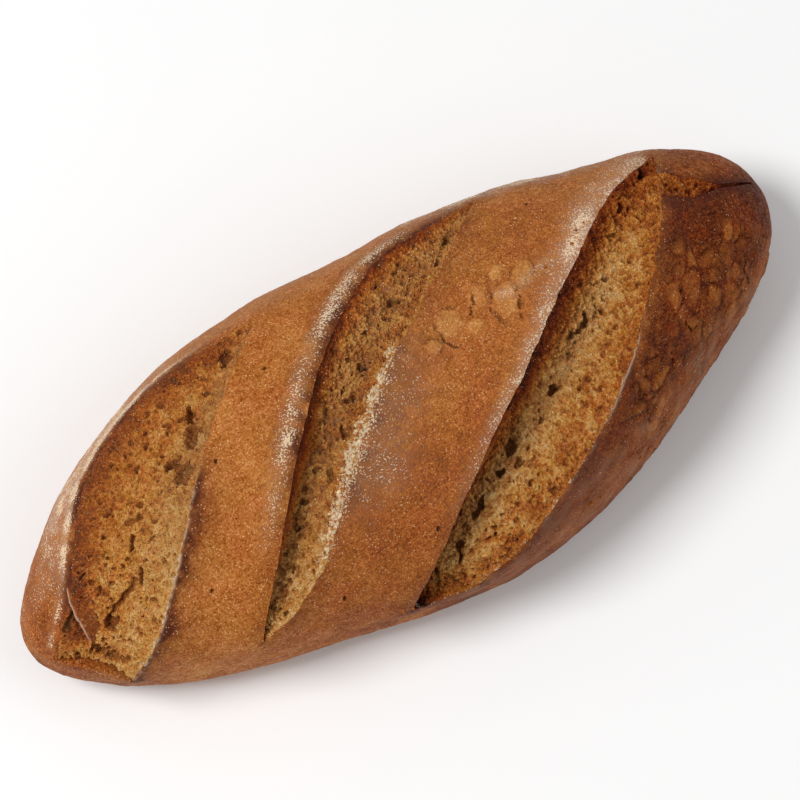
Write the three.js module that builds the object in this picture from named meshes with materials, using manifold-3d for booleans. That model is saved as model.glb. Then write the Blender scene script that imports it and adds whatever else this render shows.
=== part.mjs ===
// Hearth loaf: a long oval loaf baked without a tin, three long slanting
// slashes across its top and one short tear at its right end.
// Millimetres, +X along the loaf, +Z up, flat base on z = 0.
import * as THREE from 'three';
import Module from 'manifold-3d';

// ---- driving dimensions ----
const halfLength = 145;       // middle to either end
const halfWidth = 58;         // before the side factors below
const loafHeight = 77;        // base to the crest at mid length
const bellyHeight = 27;       // height of the widest line at mid length
const bellyDrop = 5;          // how much lower that line is at the ends
const baseSink = 7;           // how far the lower curve would run below the base
const crownPower = 2.3;       // squareness of the upper section
const footPower = 3.2;        // squareness of the lower section
const crestTaper = 0.9;       // how the crest falls towards the ends
const footTaper = 0.7;        // how the underside rises towards the ends
const leftEndShift = -1.9;    // sideways drift of the left end
const rightEndShift = 5.5;    // sideways drift of the right end

// side factors at nine even steps of angle, left end to right end
const farSide = [0.7, 0.83, 0.995, 1.03, 0.96, 0.93, 0.9, 1.0, 1.09];
const nearSide = [0.74, 0.84, 0.945, 0.99, 1.11, 1.06, 0.925, 0.925, 0.925];

const lumpHeight = 0.8;       // broad unevenness of the crust
const lipHeight = 1.6;        // the crust lifts this much along a slash
const lipReach = 7;           // and settles over this distance

// Each cut: its two lips in plan from upper tip to lower tip, its depth, where
// across it the depth peaks, and how ragged its floor is.
const cuts = [
  {
    left: [[-29, 41], [-55, 42], [-80, 38.5], [-103.5, 26], [-119.5, 6.5], [-129.5, -16]],
    right: [[-29, 41], [-50, 25], [-70, 9], [-87, -10], [-107.5, -27], [-120.5, -30]],
    depth: 6.5, leftRise: 0.8, rightRise: 0.25, blunt: 0.5, crag: 0.9,
  },
  {
    left: [[52, 39], [31, 39.5], [10, 36.5], [-17.5, 18.5], [-40, -3], [-63, -28], [-80.5, -44]],
    right: [[52, 39], [21.5, 18], [-4, 1.5], [-26, -16], [-49.5, -36], [-66, -43.5], [-80.5, -44]],
    depth: 9, leftRise: 0.45, rightRise: 0.9, blunt: 0.55, crag: 0.9,
  },
  {
    left: [[113, 25], [91, 18], [64, 1], [36, -18.5], [11.5, -34], [-19, -53], [-34, -59]],
    right: [[113, 25], [100, 2.5], [75.5, -23.5], [45.5, -46.5], [15, -59.5], [-10, -63], [-34, -59]],
    depth: 11, leftRise: 0.35, rightRise: 1.0, blunt: 0.5, crag: 1.1,
  },
  {
    left: [[101, 9], [111, 8.5], [125, 4], [140, 4]],
    right: [[101, 18], [112, 17], [124, 10], [140, 5.5]],
    depth: 4.5, leftRise: 0.4, rightRise: 0.7, blunt: 0.4, crag: 0.5,
  },
];

// ---- mesh density ----
const stations = 62;          // sections along the loaf
const crownSteps = 34;        // steps over the top of a section
const footSteps = 14;         // steps under it
const cutLength = 34;         // steps along a cut
const cutWidth = 8;           // steps across a cut
const cutHeadroom = 9;        // how far a cutter stands above the crust

// natural cubic spline through evenly spaced values
function evenSpline(values) {
  const n = values.length - 1;
  const bend = new Array(n + 1).fill(0);
  for (let sweep = 0; sweep < 60; sweep += 1) {
    for (let i = 1; i < n; i += 1) {
      const kink = values[i + 1] - 2 * values[i] + values[i - 1];
      bend[i] = (6 * kink - bend[i - 1] - bend[i + 1]) / 4;
    }
  }
  return (t) => {
    const s = Math.min(Math.max(t, 0), 1) * n;
    const i = Math.min(Math.floor(s), n - 1);
    const b = s - i;
    const a = 1 - b;
    return a * values[i] + b * values[i + 1]
      + ((a ** 3 - a) * bend[i] + (b ** 3 - b) * bend[i + 1]) / 6;
  };
}

const farFactor = evenSpline(farSide);
const nearFactor = evenSpline(nearSide);

// the section of the loaf at one place along it
function sectionAt(x) {
  const q = Math.min(Math.max(x / halfLength, -1), 1);
  const round = Math.sqrt(1 - q * q);
  const along = Math.acos(-q) / Math.PI;
  const belly = bellyHeight - bellyDrop * q * q;
  return {
    middle: (q < 0 ? leftEndShift : rightEndShift) * Math.abs(q) ** 2.5,
    far: halfWidth * round * farFactor(along),
    near: halfWidth * round * nearFactor(along),
    belly,
    crest: belly + (loafHeight - bellyHeight) * round ** crestTaper,
    foot: belly - (belly + baseSink) * round ** footTaper,
  };
}

const power = (value, exponent) => Math.sign(value) * Math.abs(value) ** exponent;

// smooth outer skin, angle 0 on the far side and rising over the top
function skinPoint(x, angle) {
  const s = sectionAt(x);
  const c = Math.cos(angle);
  const h = Math.sin(angle);
  const reach = c > 0 ? s.far : s.near;
  if (h >= 0) {
    return new THREE.Vector3(
      x,
      s.middle + reach * power(c, 2 / crownPower),
      s.belly + (s.crest - s.belly) * power(h, 2 / crownPower),
    );
  }
  return new THREE.Vector3(
    x,
    s.middle + reach * power(c, 2 / footPower),
    s.belly + (s.belly - s.foot) * power(h, 2 / footPower),
  );
}

// height of the smooth top above one point of the plan
function topHeight(x, y) {
  const s = sectionAt(x);
  const reach = y > s.middle ? s.far : s.near;
  const share = Math.min(Math.abs(y - s.middle) / Math.max(reach, 0.01), 0.995);
  return s.belly + (s.crest - s.belly) * (1 - share ** crownPower) ** (1 / crownPower);
}

function topPoint(x, y) {
  return new THREE.Vector3(x, y, topHeight(x, y));
}

// outward direction of the top, from its slope both ways
function topNormal(x, y) {
  const step = 0.5;
  const slopeX = (topHeight(x + step, y) - topHeight(x - step, y)) / (2 * step);
  const slopeY = (topHeight(x, y + step) - topHeight(x, y - step)) / (2 * step);
  return new THREE.Vector3(-slopeX, -slopeY, 1).normalize();
}

// broad lumps and finer crags, both smooth sums of waves
function lump(x, y) {
  return Math.sin(x * 0.071 + 1.3) * Math.sin(y * 0.093 + 0.4) * 0.6
    + Math.sin(x * 0.133 - y * 0.081 + 2.1) * 0.4;
}

function crag(x, y) {
  return Math.sin(x * 0.62 + y * 0.35 + 0.7) * Math.sin(y * 0.71 - x * 0.22) * 0.6
    + Math.sin(x * 0.31 - y * 0.53 + 1.9) * 0.5;
}

for (const cut of cuts) {
  cut.leftCurve = new THREE.SplineCurve(cut.left.map(([x, y]) => new THREE.Vector2(x, y)));
  cut.rightCurve = new THREE.SplineCurve(cut.right.map(([x, y]) => new THREE.Vector2(x, y)));
  cut.lipPoints = [];
  for (let i = 0; i <= 48; i += 1) {
    cut.lipPoints.push(cut.leftCurve.getPoint(i / 48), cut.rightCurve.getPoint(i / 48));
  }
}

// lift of the crust along the nearest lip
function lipLift(x, y) {
  let nearest = Infinity;
  for (const cut of cuts.slice(0, 3)) {
    for (const p of cut.lipPoints) nearest = Math.min(nearest, Math.hypot(p.x - x, p.y - y));
  }
  return lipHeight * Math.exp(-((nearest / lipReach) ** 2));
}

// depth across a cut: 0 on both lips, 1 where it is deepest
function acrossShape(w, cut) {
  const peak = cut.leftRise / (cut.leftRise + cut.rightRise);
  const top = peak ** cut.leftRise * (1 - peak) ** cut.rightRise;
  return (w ** cut.leftRise * (1 - w) ** cut.rightRise) / top;
}

// ---- closed meshes ----
class Shell {
  constructor() {
    this.points = [];
    this.faces = [];
  }

  point(v) {
    this.points.push(v.x, v.y, v.z);
    return this.points.length / 3 - 1;
  }

  quad(a, b, c, d) {
    this.faces.push(a, b, c, a, c, d);
  }
}

function loafShell() {
  const shell = new Shell();
  const around = crownSteps + footSteps;
  const rings = [];
  for (let i = 1; i < stations; i += 1) {
    const x = -halfLength * Math.cos((Math.PI * i) / stations);
    const ring = [];
    for (let j = 0; j < around; j += 1) {
      const angle = j <= crownSteps
        ? (Math.PI * j) / crownSteps
        : Math.PI + (Math.PI * (j - crownSteps)) / footSteps;
      const p = skinPoint(x, angle);
      const share = Math.max(Math.sin(angle), 0);
      const swell = (lumpHeight * lump(p.x, p.y) + lipLift(p.x, p.y)) * Math.sqrt(share);
      const s = sectionAt(x);
      const out = new THREE.Vector3(p.x * 0.1, p.y - s.middle, p.z - s.belly).normalize();
      p.addScaledVector(out, swell);
      p.z = Math.max(p.z, 0);
      ring.push(shell.point(p));
    }
    rings.push(ring);
  }
  for (let i = 0; i + 1 < rings.length; i += 1) {
    for (let j = 0; j < around; j += 1) {
      const k = (j + 1) % around;
      shell.quad(rings[i][j], rings[i][k], rings[i + 1][k], rings[i + 1][j]);
    }
  }
  const leftTip = shell.point(skinPoint(-halfLength, 0));
  const rightTip = shell.point(skinPoint(halfLength, 0));
  const last = rings[rings.length - 1];
  for (let j = 0; j < around; j += 1) {
    const k = (j + 1) % around;
    shell.faces.push(leftTip, rings[0][k], rings[0][j]);
    shell.faces.push(rightTip, last[j], last[k]);
  }
  return shell;
}

function cutShell(cut) {
  const shell = new Shell();
  const floor = [];
  const roof = [];
  for (let i = 0; i <= cutLength; i += 1) {
    const t = 0.012 + (0.976 * i) / cutLength;
    const left = cut.leftCurve.getPoint(t);
    const right = cut.rightCurve.getPoint(t);
    const envelope = Math.sin(Math.PI * t) ** cut.blunt;
    floor.push([]);
    roof.push([]);
    for (let j = 0; j <= cutWidth; j += 1) {
      const w = 0.5 - 0.5 * Math.cos((Math.PI * j) / cutWidth);
      const x = left.x + (right.x - left.x) * w;
      const y = left.y + (right.y - left.y) * w;
      const base = topPoint(x, y);
      const normal = topNormal(x, y);
      const shape = acrossShape(w, cut) * envelope;
      const depth = cut.depth * shape + cut.crag * crag(x, y) * Math.min(1, shape * 1.4);
      floor[i].push(shell.point(base.clone().addScaledVector(normal, -depth)));
      roof[i].push(shell.point(base.clone().addScaledVector(normal, cutHeadroom)));
    }
  }
  for (let i = 0; i < cutLength; i += 1) {
    for (let j = 0; j < cutWidth; j += 1) {
      shell.quad(roof[i][j], roof[i + 1][j], roof[i + 1][j + 1], roof[i][j + 1]);
      shell.quad(floor[i][j], floor[i][j + 1], floor[i + 1][j + 1], floor[i + 1][j]);
    }
    shell.quad(floor[i][0], floor[i + 1][0], roof[i + 1][0], roof[i][0]);
    const w = cutWidth;
    shell.quad(roof[i][w], roof[i + 1][w], floor[i + 1][w], floor[i][w]);
  }
  for (let j = 0; j < cutWidth; j += 1) {
    shell.quad(floor[0][j], roof[0][j], roof[0][j + 1], floor[0][j + 1]);
    const n = cutLength;
    shell.quad(roof[n][j], floor[n][j], floor[n][j + 1], roof[n][j + 1]);
  }
  return shell;
}

const wasm = await Module();
wasm.setup();

function solidOf(shell) {
  return new wasm.Manifold(new wasm.Mesh({
    numProp: 3,
    vertProperties: new Float32Array(shell.points),
    triVerts: new Uint32Array(shell.faces),
  }));
}

// the cuts are joined first so that the tear opens cleanly into its slash
const voids = cuts.map((cut) => solidOf(cutShell(cut))).reduce((all, one) => all.add(one));
const bread = solidOf(loafShell()).subtract(voids).simplify(0.12);

const mesh = bread.getMesh();
const geometry = new THREE.BufferGeometry();
geometry.setAttribute('position', new THREE.BufferAttribute(new Float32Array(mesh.vertProperties), 3));
geometry.setIndex(new THREE.BufferAttribute(new Uint32Array(mesh.triVerts), 1));
geometry.computeVertexNormals();

const crust = new THREE.MeshStandardMaterial({ color: 0xa5693a, roughness: 0.8, metalness: 0 });
const loaf = new THREE.Mesh(geometry, crust);
loaf.name = 'loaf';

const part = new THREE.Group();
part.name = 'hearth_loaf';
part.add(loaf);
export default part;
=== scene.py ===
import math
import bmesh
import bpy
import numpy as np
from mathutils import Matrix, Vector, kdtree


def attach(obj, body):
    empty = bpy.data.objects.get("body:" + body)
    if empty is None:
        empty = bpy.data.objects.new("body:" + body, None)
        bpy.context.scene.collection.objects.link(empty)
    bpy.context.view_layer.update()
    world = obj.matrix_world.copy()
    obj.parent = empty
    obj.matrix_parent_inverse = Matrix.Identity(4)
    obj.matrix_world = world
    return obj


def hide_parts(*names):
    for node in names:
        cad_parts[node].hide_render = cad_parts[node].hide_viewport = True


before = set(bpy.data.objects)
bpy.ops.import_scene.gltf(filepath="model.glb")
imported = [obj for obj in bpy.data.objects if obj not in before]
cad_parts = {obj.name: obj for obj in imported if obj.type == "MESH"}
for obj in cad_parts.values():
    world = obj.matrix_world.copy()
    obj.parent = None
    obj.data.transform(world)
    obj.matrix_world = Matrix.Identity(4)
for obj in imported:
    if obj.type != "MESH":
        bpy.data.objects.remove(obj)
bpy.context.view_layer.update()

millimetre = 0.001

# The loaf's smooth form, lengths in millimetres: +X along the loaf, +Y its far side, base on z = 0.
loafForm = {
    "halfLength": 145.0,
    "halfWidth": 58.0,
    "height": 77.0,
    "bellyHeight": 27.0,
    "bellyDrop": 5.0,
    "baseSink": 7.0,
    "crownPower": 2.3,
    "footPower": 3.2,
    "crestTaper": 0.9,
    "footTaper": 0.7,
    "leftEndShift": -1.9,
    "rightEndShift": 5.5,
    "farSide": [0.7, 0.83, 0.995, 1.03, 0.96, 0.93, 0.9, 1.0, 1.09],
    "nearSide": [0.74, 0.84, 0.945, 0.99, 1.11, 1.06, 0.925, 0.925, 0.925],
    "lumpHeight": 0.8,
    "lipHeight": 1.6,
    "lipReach": 7.0,
    "raiseReach": 1.2,
    "unevenness": [(17, 0.34, 3), (8, 0.22, 4)],   # grain, height, seed
}

# Each slash runs from its upper tip to its lower tip. Lips are in plan. The lists below them run the
# same way: depth of the crumb, how far it sinks as a whole, how rough each lip is torn, how far the
# left lip rolls in and the right lip stands up, and the crust seen above the crumb. A rise under 1
# makes a steep wall at that lip. Crust pieces part along a slash's middle and on to its divide ends.
# Holes are x, y, half length, half width, depth and turn.
slashes = [
    {
        "name": "leftSlash",
        "divideEnds": [(-24, 90), (-175, -52)],
        "left": [
            (-29, 41), (-55, 42), (-80, 38.5), (-103.5, 26), (-118, 9), (-126, -2), (-133, -8),
            (-138.3, -13),
        ],
        "right": [
            (-29, 41), (-44, 30), (-60, 17), (-75, 3), (-88.5, -11), (-103, -24), (-113, -29.5),
            (-120.8, -29.8),
        ],
        "depth": [0.1, 1.8, 4.2, 5.0, 4.4, 4.2, 3.8, 2.6, 1.2],
        "sink": [0, 0],
        "leftRise": (1.15, 1.0), "rightRise": (1.05, 0.75),
        "leftRough": [0.3, 0.35, 0.3, 0.5, 0.9], "rightRough": [0.3, 0.5, 0.3, 0.25, 0.25],
        "leftRoll": [0.1, 0.3, 0.4, 0.3, 0.0], "rollReach": 1.6, "rightRaise": [0, 0.1, 0.25, 0.5, 0.5],
        "leftSkin": [0.0, 0.0, 0.02, 0.05, 0.3], "rightSkin": [0.0, 0.35, 0.6, 0.7, 0.8],
        "holes": [
            (-45.3, 36, 3.0, 1.8, 2.4, 60), (-56.5, 29.6, 1.6, 1.0, 1.5, 0),
            (-64.3, 27.2, 3.4, 1.3, 4.4, 58), (-67.4, 19, 5.2, 3.0, 3.4, 62),
            (-64.8, 16.7, 1.3, 0.9, 4.0, 0), (-78.1, 14.6, 2.8, 1.8, 4.2, 20),
            (-76, 9.8, 4.8, 3.2, 2.6, 60), (-80.3, 26.4, 1.1, 0.8, 1.5, 0),
            (-83.9, 30.1, 1.0, 0.8, 1.4, 0), (-87.4, 20.6, 1.2, 0.9, 1.4, 30),
            (-93.7, 27, 0.9, 0.6, 1.1, 0), (-72.9, 24.7, 1.1, 0.7, 1.3, 50),
            (-74.2, 16.3, 0.9, 0.9, 1.4, 0), (-102.4, 13.2, 1.4, 0.8, 1.5, 150),
            (-97.7, 7, 2.4, 0.7, 1.4, -20), (-95.2, -1.9, 1.9, 0.6, 1.1, 10),
            (-101.5, 0.1, 3.2, 0.9, 2.5, 58), (-109.8, 0.9, 1.0, 0.7, 1.3, 0),
            (-115.1, 4.3, 0.9, 0.6, 1.0, 0), (-119, 1.1, 1.4, 0.6, 1.5, 58),
            (-112.3, -5.6, 0.9, 0.6, 1.1, 0), (-117.1, -5.3, 1.3, 0.8, 1.4, 40),
            (-104.1, -9, 2.3, 0.9, 2.8, 75), (-112, -11.3, 8.0, 0.9, 1.7, 20),
            (-119.9, -15, 2.8, 2.0, 3.4, 58), (-126.4, -19.6, 2.6, 1.2, 2.6, -40),
            (-122.8, -24.4, 5.0, 1.2, 2.0, -40), (-128.6, -17.6, 1.1, 0.7, 1.7, 0),
            (-131.6, -8.4, 4.2, 1.5, 2.4, 33),
        ],
    },
    {
        "name": "middleSlash",
        "divideEnds": [(60, 90), (-96, -90)],
        "left": [(52, 39), (31, 39.5), (10, 36.5), (-17.5, 18.5), (-40, -3), (-63, -28), (-80.5, -44)],
        "right": [
            (52, 39), (21.5, 18), (-4, 1.5), (-26, -16), (-49.5, -36), (-66, -43.5), (-80.5, -44),
        ],
        "depth": [0.2, 2.6, 5.6, 7.6, 8.8, 9.2, 8.0, 5.2, 0.8],
        "sink": [0, 0],
        "leftRise": (1.25, 0.45), "rightRise": (0.7, 1.15),
        "leftRough": [0.2, 0.3, 0.3, 0.3, 0.3], "rightRough": [0.5, 0.9, 1.0, 0.8, 0.4],
        "leftRoll": [0.0, 1.1, 1.6, 0.8, 0.3], "rollReach": 3.0, "rightRaise": [0, 0, 0.1, 0.2, 0.2],
        "leftSkin": [0.0, 0.0, 0.4, 0.8, 0.6], "rightSkin": [0.0, 0.1, 0.1, 0.3, 0.4],
        "holes": [
            (36.7, 33.3, 2.8, 1.2, 2.4, 35), (29.5, 27.2, 2.2, 1.1, 2.0, 40),
            (20, 27.9, 1.1, 0.8, 1.3, 0), (10.5, 22.6, 2.6, 1.4, 2.6, -20),
            (4.6, 18.3, 1.3, 0.9, 1.5, 0), (7.6, 11.8, 2.8, 1.2, 2.2, 40),
            (-4.3, 18.1, 1.1, 0.8, 1.3, 0), (-12.2, 13, 1.2, 0.8, 1.4, 0),
            (-2.4, 7.2, 1.1, 0.8, 2.6, 0), (-10.2, 8.8, 1.9, 1.3, 1.9, 0),
            (-19.6, 5.7, 1.1, 0.7, 1.3, 0), (-13.5, 0.4, 1.9, 0.6, 1.7, 35),
            (-30.4, 0.9, 1.3, 0.8, 1.5, 0), (-26.3, -6.4, 1.9, 1.2, 1.6, 58),
            (-36.9, -15.7, 2.4, 1.0, 1.7, 58), (-39, -11.9, 1.6, 1.0, 1.9, 0),
            (-48.2, -17.9, 1.3, 0.7, 1.3, 0), (-54.5, -24.4, 1.5, 0.7, 1.4, 20),
            (-62.6, -33.2, 1.7, 0.7, 1.6, 45),
        ],
    },
    {
        "name": "rightSlash",
        "divideEnds": [(124, 90), (-40, -100)],
        "left": [(113, 25), (91, 18), (64, 1), (36, -18.5), (11.5, -34), (-19, -53), (-34, -59)],
        "right": [
            (113, 25), (100, 2.5), (75.5, -23.5), (45.5, -46.5), (15, -59.5), (-10, -63), (-34, -59),
        ],
        "depth": [0.2, 2.6, 5.6, 8.4, 10.4, 11.6, 11.4, 8.0, 0.8],
        "sink": [0, 0],
        "leftRise": (1.3, 0.42), "rightRise": (1.5, 1.15),
        "leftRough": [0.3, 0.4, 0.4, 0.3, 0.3], "rightRough": [0.6, 0.8, 0.12, 0.15, 0.4],
        "leftRoll": [0.3, 0.5, 0.5, 0.4, 0.3], "rollReach": 1.2, "rightRaise": [0, 0, 0.25, 0.1, 0],
        "leftSkin": [0.0, 0.1, 0.7, 0.9, 0.7], "rightSkin": [-0.1, -0.1, 0.3, 0.6, 0.4],
        "holes": [
            (105.6, 22.2, 2.6, 1.2, 3.0, 50), (91.5, 12.6, 2.2, 1.2, 1.9, 30),
            (83.7, 6.2, 1.5, 1.0, 1.7, 0), (84, -3.8, 1.0, 0.7, 1.3, 0), (73.5, -5.2, 1.1, 0.8, 1.4, 0),
            (60.6, -13.2, 3.2, 1.3, 2.8, 55), (54.4, -15.6, 1.7, 1.1, 2.5, 20),
            (57, -15.9, 1.0, 0.8, 1.9, 0), (50, -20.6, 1.1, 0.8, 1.5, 0),
            (39.9, -27.6, 2.0, 1.4, 5.4, 40), (31.2, -33.6, 1.7, 0.8, 1.5, 30),
            (17.9, -36.2, 2.8, 1.4, 3.8, 45), (10.8, -41.7, 1.9, 1.3, 4.4, 20),
            (18.1, -41.5, 2.0, 1.2, 2.4, 80), (1, -46, 3.4, 1.3, 3.8, 50),
            (-1.6, -47.7, 1.5, 1.0, 3.2, 0), (-11.4, -54, 3.2, 1.1, 3.6, 50),
            (-22, -56.4, 2.8, 1.0, 3.2, 40), (-25.8, -57.2, 1.3, 0.8, 2.4, 0),
            (17.4, -49.3, 0.9, 0.6, 1.3, 0),
        ],
    },
    {
        "name": "endTear",
        "left": [
            (98, 8), (104.5, 9.2), (110, 7.4), (116, 5.6), (121.5, 5.9), (128, 5.4), (135, 4.6),
            (141, 4.1),
        ],
        "right": [
            (98, 18), (105, 18.2), (110.8, 16.8), (116.5, 13.9), (122.8, 11.2), (128.6, 7.2),
            (135, 6.0), (141, 5.4),
        ],
        "depth": [0.2, 0.3, 0.9, 1.3, 1.5, 1.7, 1.8, 1.5, 1.1],
        "sink": [6.0, 0.5, 0.0, 0, 0, 0, 0],
        "leftRise": (0.6, 0.3), "rightRise": (0.6, 0.3),
        "leftRough": [0.2, 1.1, 0.9, 0.5, 0.3], "rightRough": [0.2, 1.1, 0.9, 0.5, 0.3],
        "leftRoll": [0, 0, 0, 0, 0], "rollReach": 2.0, "rightRaise": [0, 0, 0, 0, 0],
        "leftSkin": [0.0, 0.0, 0.1, 0.5, 0.6], "rightSkin": [0.0, -0.1, 0.0, 0.5, 0.6],
        "holes": [
            (104, 14, 1.4, 0.9, 1.6, 30), (110.5, 11, 1.2, 0.8, 1.4, 0), (116, 9.2, 1.4, 0.6, 1.2, 0),
        ],
    },
]


def evenSpline(values):
    # a smooth curve through values spaced evenly from 0 to 1
    values = np.array(values, float)
    n = len(values) - 1
    system = np.diag(np.full(n + 1, 4.0)) + np.diag(np.ones(n), 1) + np.diag(np.ones(n), -1)
    system[[0, n]] = 0
    system[[0, n], [0, n]] = 1
    kinks = np.zeros(n + 1)
    kinks[1:-1] = 6 * (values[2:] - 2 * values[1:-1] + values[:-2])
    bend = np.linalg.solve(system, kinks)

    def at(t):
        s = np.clip(t, 0, 1) * n
        i = np.minimum(np.floor(s).astype(int), n - 1)
        b = s - i
        a = 1 - b
        curve = (a ** 3 - a) * bend[i] + (b ** 3 - b) * bend[i + 1]
        return a * values[i] + b * values[i + 1] + curve / 6
    return at


def along(values, t):
    # a list of values run evenly from the upper tip to the lower tip
    return evenSpline(values)(t)


farFactor = evenSpline(loafForm["farSide"])
nearFactor = evenSpline(loafForm["nearSide"])


def sectionAt(x):
    form = loafForm
    q = np.clip(np.asarray(x, float) / form["halfLength"], -1, 1)
    rounding = np.sqrt(1 - q * q)
    share = np.arccos(-q) / math.pi
    belly = form["bellyHeight"] - form["bellyDrop"] * q * q
    shift = np.where(q < 0, form["leftEndShift"], form["rightEndShift"])
    return {
        "middle": shift * np.abs(q) ** 2.5,
        "far": form["halfWidth"] * rounding * farFactor(share),
        "near": form["halfWidth"] * rounding * nearFactor(share),
        "belly": belly,
        "crest": belly + (form["height"] - form["bellyHeight"]) * rounding ** form["crestTaper"],
        "foot": belly - (belly + form["baseSink"]) * rounding ** form["footTaper"],
    }


def signedPower(value, exponent):
    return np.sign(value) * np.abs(value) ** exponent


def skinPoint(x, angle):
    s = sectionAt(x)
    c = np.cos(angle)
    h = np.sin(angle)
    reach = np.where(c > 0, s["far"], s["near"])
    crown = 2 / loafForm["crownPower"]
    foot = 2 / loafForm["footPower"]
    upper = h >= 0
    y = s["middle"] + reach * np.where(upper, signedPower(c, crown), signedPower(c, foot))
    zUpper = s["belly"] + (s["crest"] - s["belly"]) * np.abs(h) ** crown
    zLower = s["belly"] - (s["belly"] - s["foot"]) * np.abs(h) ** foot
    return np.stack([np.broadcast_to(x, y.shape), y, np.where(upper, zUpper, zLower)], -1)


def topPoint(plan):
    x = plan[..., 0]
    y = plan[..., 1]
    s = sectionAt(x)
    reach = np.where(y > s["middle"], s["far"], s["near"])
    share = np.minimum(np.abs(y - s["middle"]) / np.maximum(reach, 0.01), 0.995)
    power = loafForm["crownPower"]
    height = s["belly"] + (s["crest"] - s["belly"]) * (1 - share ** power) ** (1 / power)
    return np.stack([x, y, height], -1)


def unit(v):
    return v / np.maximum(np.linalg.norm(v, axis=-1, keepdims=True), 1e-9)


def skinLevel(p):
    # 1 on the smooth crown, more outside it
    s = sectionAt(p[..., 0])
    apart = p[..., 1] - s["middle"]
    reach = np.maximum(np.where(apart > 0, s["far"], s["near"]), 0.5)
    rise = np.maximum(s["crest"] - s["belly"], 0.5)
    power = loafForm["crownPower"]
    return (np.abs(apart) / reach) ** power + (np.maximum(p[..., 2] - s["belly"], 0) / rise) ** power


def skinNormal(p):
    step = 0.05
    slope = [skinLevel(p + step * axis) - skinLevel(p - step * axis) for axis in np.eye(3)]
    return unit(np.stack(slope, -1))


def broadLump(p):
    x = p[..., 0]
    y = p[..., 1]
    return (np.sin(x * 0.071 + 1.3) * np.sin(y * 0.093 + 0.4) * 0.6
            + np.sin(x * 0.133 - y * 0.081 + 2.1) * 0.4)


def smoothStep(low, high, value):
    s = np.clip((value - low) / (high - low), 0, 1)
    return s * s * (3 - 2 * s)


def span(value, upFrom, upTo, downFrom=None, downTo=None):
    # comes in between the first two values and goes out between the last two
    share = smoothStep(upFrom, upTo, value)
    return share if downFrom is None else share * smoothStep(downTo, downFrom, value)


def bell(value, reach, power=2):
    return np.exp(-(value / reach) ** power)


noiseSpan = 32   # cells before a noise repeats
noiseTables = {}


def noiseTable(kind, seed):
    if (kind, seed) not in noiseTables:
        rng = np.random.default_rng(seed)
        size = (noiseSpan,) * 3
        made = unit(rng.normal(size=size + (3,))) if kind == "slope" else rng.random(size + (5,))
        noiseTables[(kind, seed)] = made
    return noiseTables[(kind, seed)]


def lookUp(table, cell):
    return table[tuple(np.moveaxis(cell % noiseSpan, -1, 0))]


def softNoise(p, grain, seed):
    # gradient noise, about -1 to 1, one lump per grain
    table = noiseTable("slope", seed)
    q = p / grain
    cell = np.floor(q).astype(np.int64)
    f = q - cell
    g = f * f * f * (f * (f * 6 - 15) + 10)
    total = np.zeros(p.shape[:-1])
    for corner in np.ndindex(2, 2, 2):
        slope = lookUp(table, cell + np.array(corner))
        x, y, z = [g[..., k] if corner[k] else 1 - g[..., k] for k in range(3)]
        u, v, w = [slope[..., k] * (f[..., k] - corner[k]) for k in range(3)]
        total += x * y * z * (u + v + w)
    return total * 1.7


def noiseShift(p, grain, seed):
    # a small move in all three directions
    return np.stack([softNoise(p, grain, seed + k) for k in range(3)], -1)


def scattered(p, grain, seed):
    # each of the 27 cells round a point: squared distance to the spot in it, and its two numbers
    table = noiseTable("cell", seed)
    q = p / grain
    cell = np.floor(q).astype(np.int64)
    for offset in np.ndindex(3, 3, 3):
        c = cell + np.array(offset) - 1
        data = lookUp(table, c)
        yield ((c + data[..., :3] - q) ** 2).sum(-1), data[..., 3], data[..., 4]


def cellNoise(p, grain, seed):
    # distances to the nearest and second nearest scattered point, and a number for the nearest
    nearest = np.full(p.shape[:-1], 9.0)
    second = np.full(p.shape[:-1], 9.0)
    tag = np.zeros(p.shape[:-1])
    for square, number, _ in scattered(p, grain, seed):
        away = np.sqrt(square)
        closer = away < nearest
        second = np.where(closer, nearest, np.minimum(second, away))
        tag = np.where(closer, number, tag)
        nearest = np.where(closer, away, nearest)
    return nearest, second, tag


def pores(p, grain, seed, share, reach, steepness):
    # bubbles of uneven size: 1 at the middle of a bubble, 0 outside it
    deepest = np.zeros(p.shape[:-1])
    for square, number, size in scattered(p, grain, seed):
        radius = reach * (0.4 + 0.6 * size)
        bowl = np.clip(1 - square / (radius * radius), 0, 1) ** steepness
        deepest = np.maximum(deepest, np.where(number < share, bowl, 0))
    return deepest


def throughPoints(points, t):
    points = np.array(points, float)
    n = len(points)
    s = np.asarray(t, float) * (n - 1)
    i = np.clip(np.floor(s).astype(int), 0, n - 2)
    w = (s - i)[..., None]
    before = points[np.maximum(i - 1, 0)]
    here = points[i]
    after = points[i + 1]
    later = points[np.minimum(i + 2, n - 1)]
    leave = (after - before) / 2
    arrive = (later - here) / 2
    return ((2 * here - 2 * after + leave + arrive) * w ** 3
            + (3 * after - 3 * here - 2 * leave - arrive) * w ** 2 + leave * w + here)


def lipLine(slash, side, t):
    # a lip in plan, with the small waver of torn dough
    line = throughPoints(slash[side], t)
    ahead = throughPoints(slash[side], np.minimum(t + 0.002, 1))
    ahead = ahead - throughPoints(slash[side], np.maximum(t - 0.002, 0))
    across = unit(np.stack([-ahead[..., 1], ahead[..., 0]], -1))
    phase = sum(ord(letter) for letter in slash["name"] + side)
    flat = np.concatenate([line, np.full(line.shape[:-1] + (1,), phase * 3.7)], -1)
    waver = softNoise(flat, 9.0, 11) + 0.7 * softNoise(flat, 3.2, 12) + 0.45 * softNoise(flat, 1.5, 13)
    calm = np.clip(np.sin(math.pi * np.clip(t, 0, 1)), 0, 1) ** 0.5
    return line + across * (waver * calm * along(slash[side + "Rough"], t))[..., None]


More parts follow.
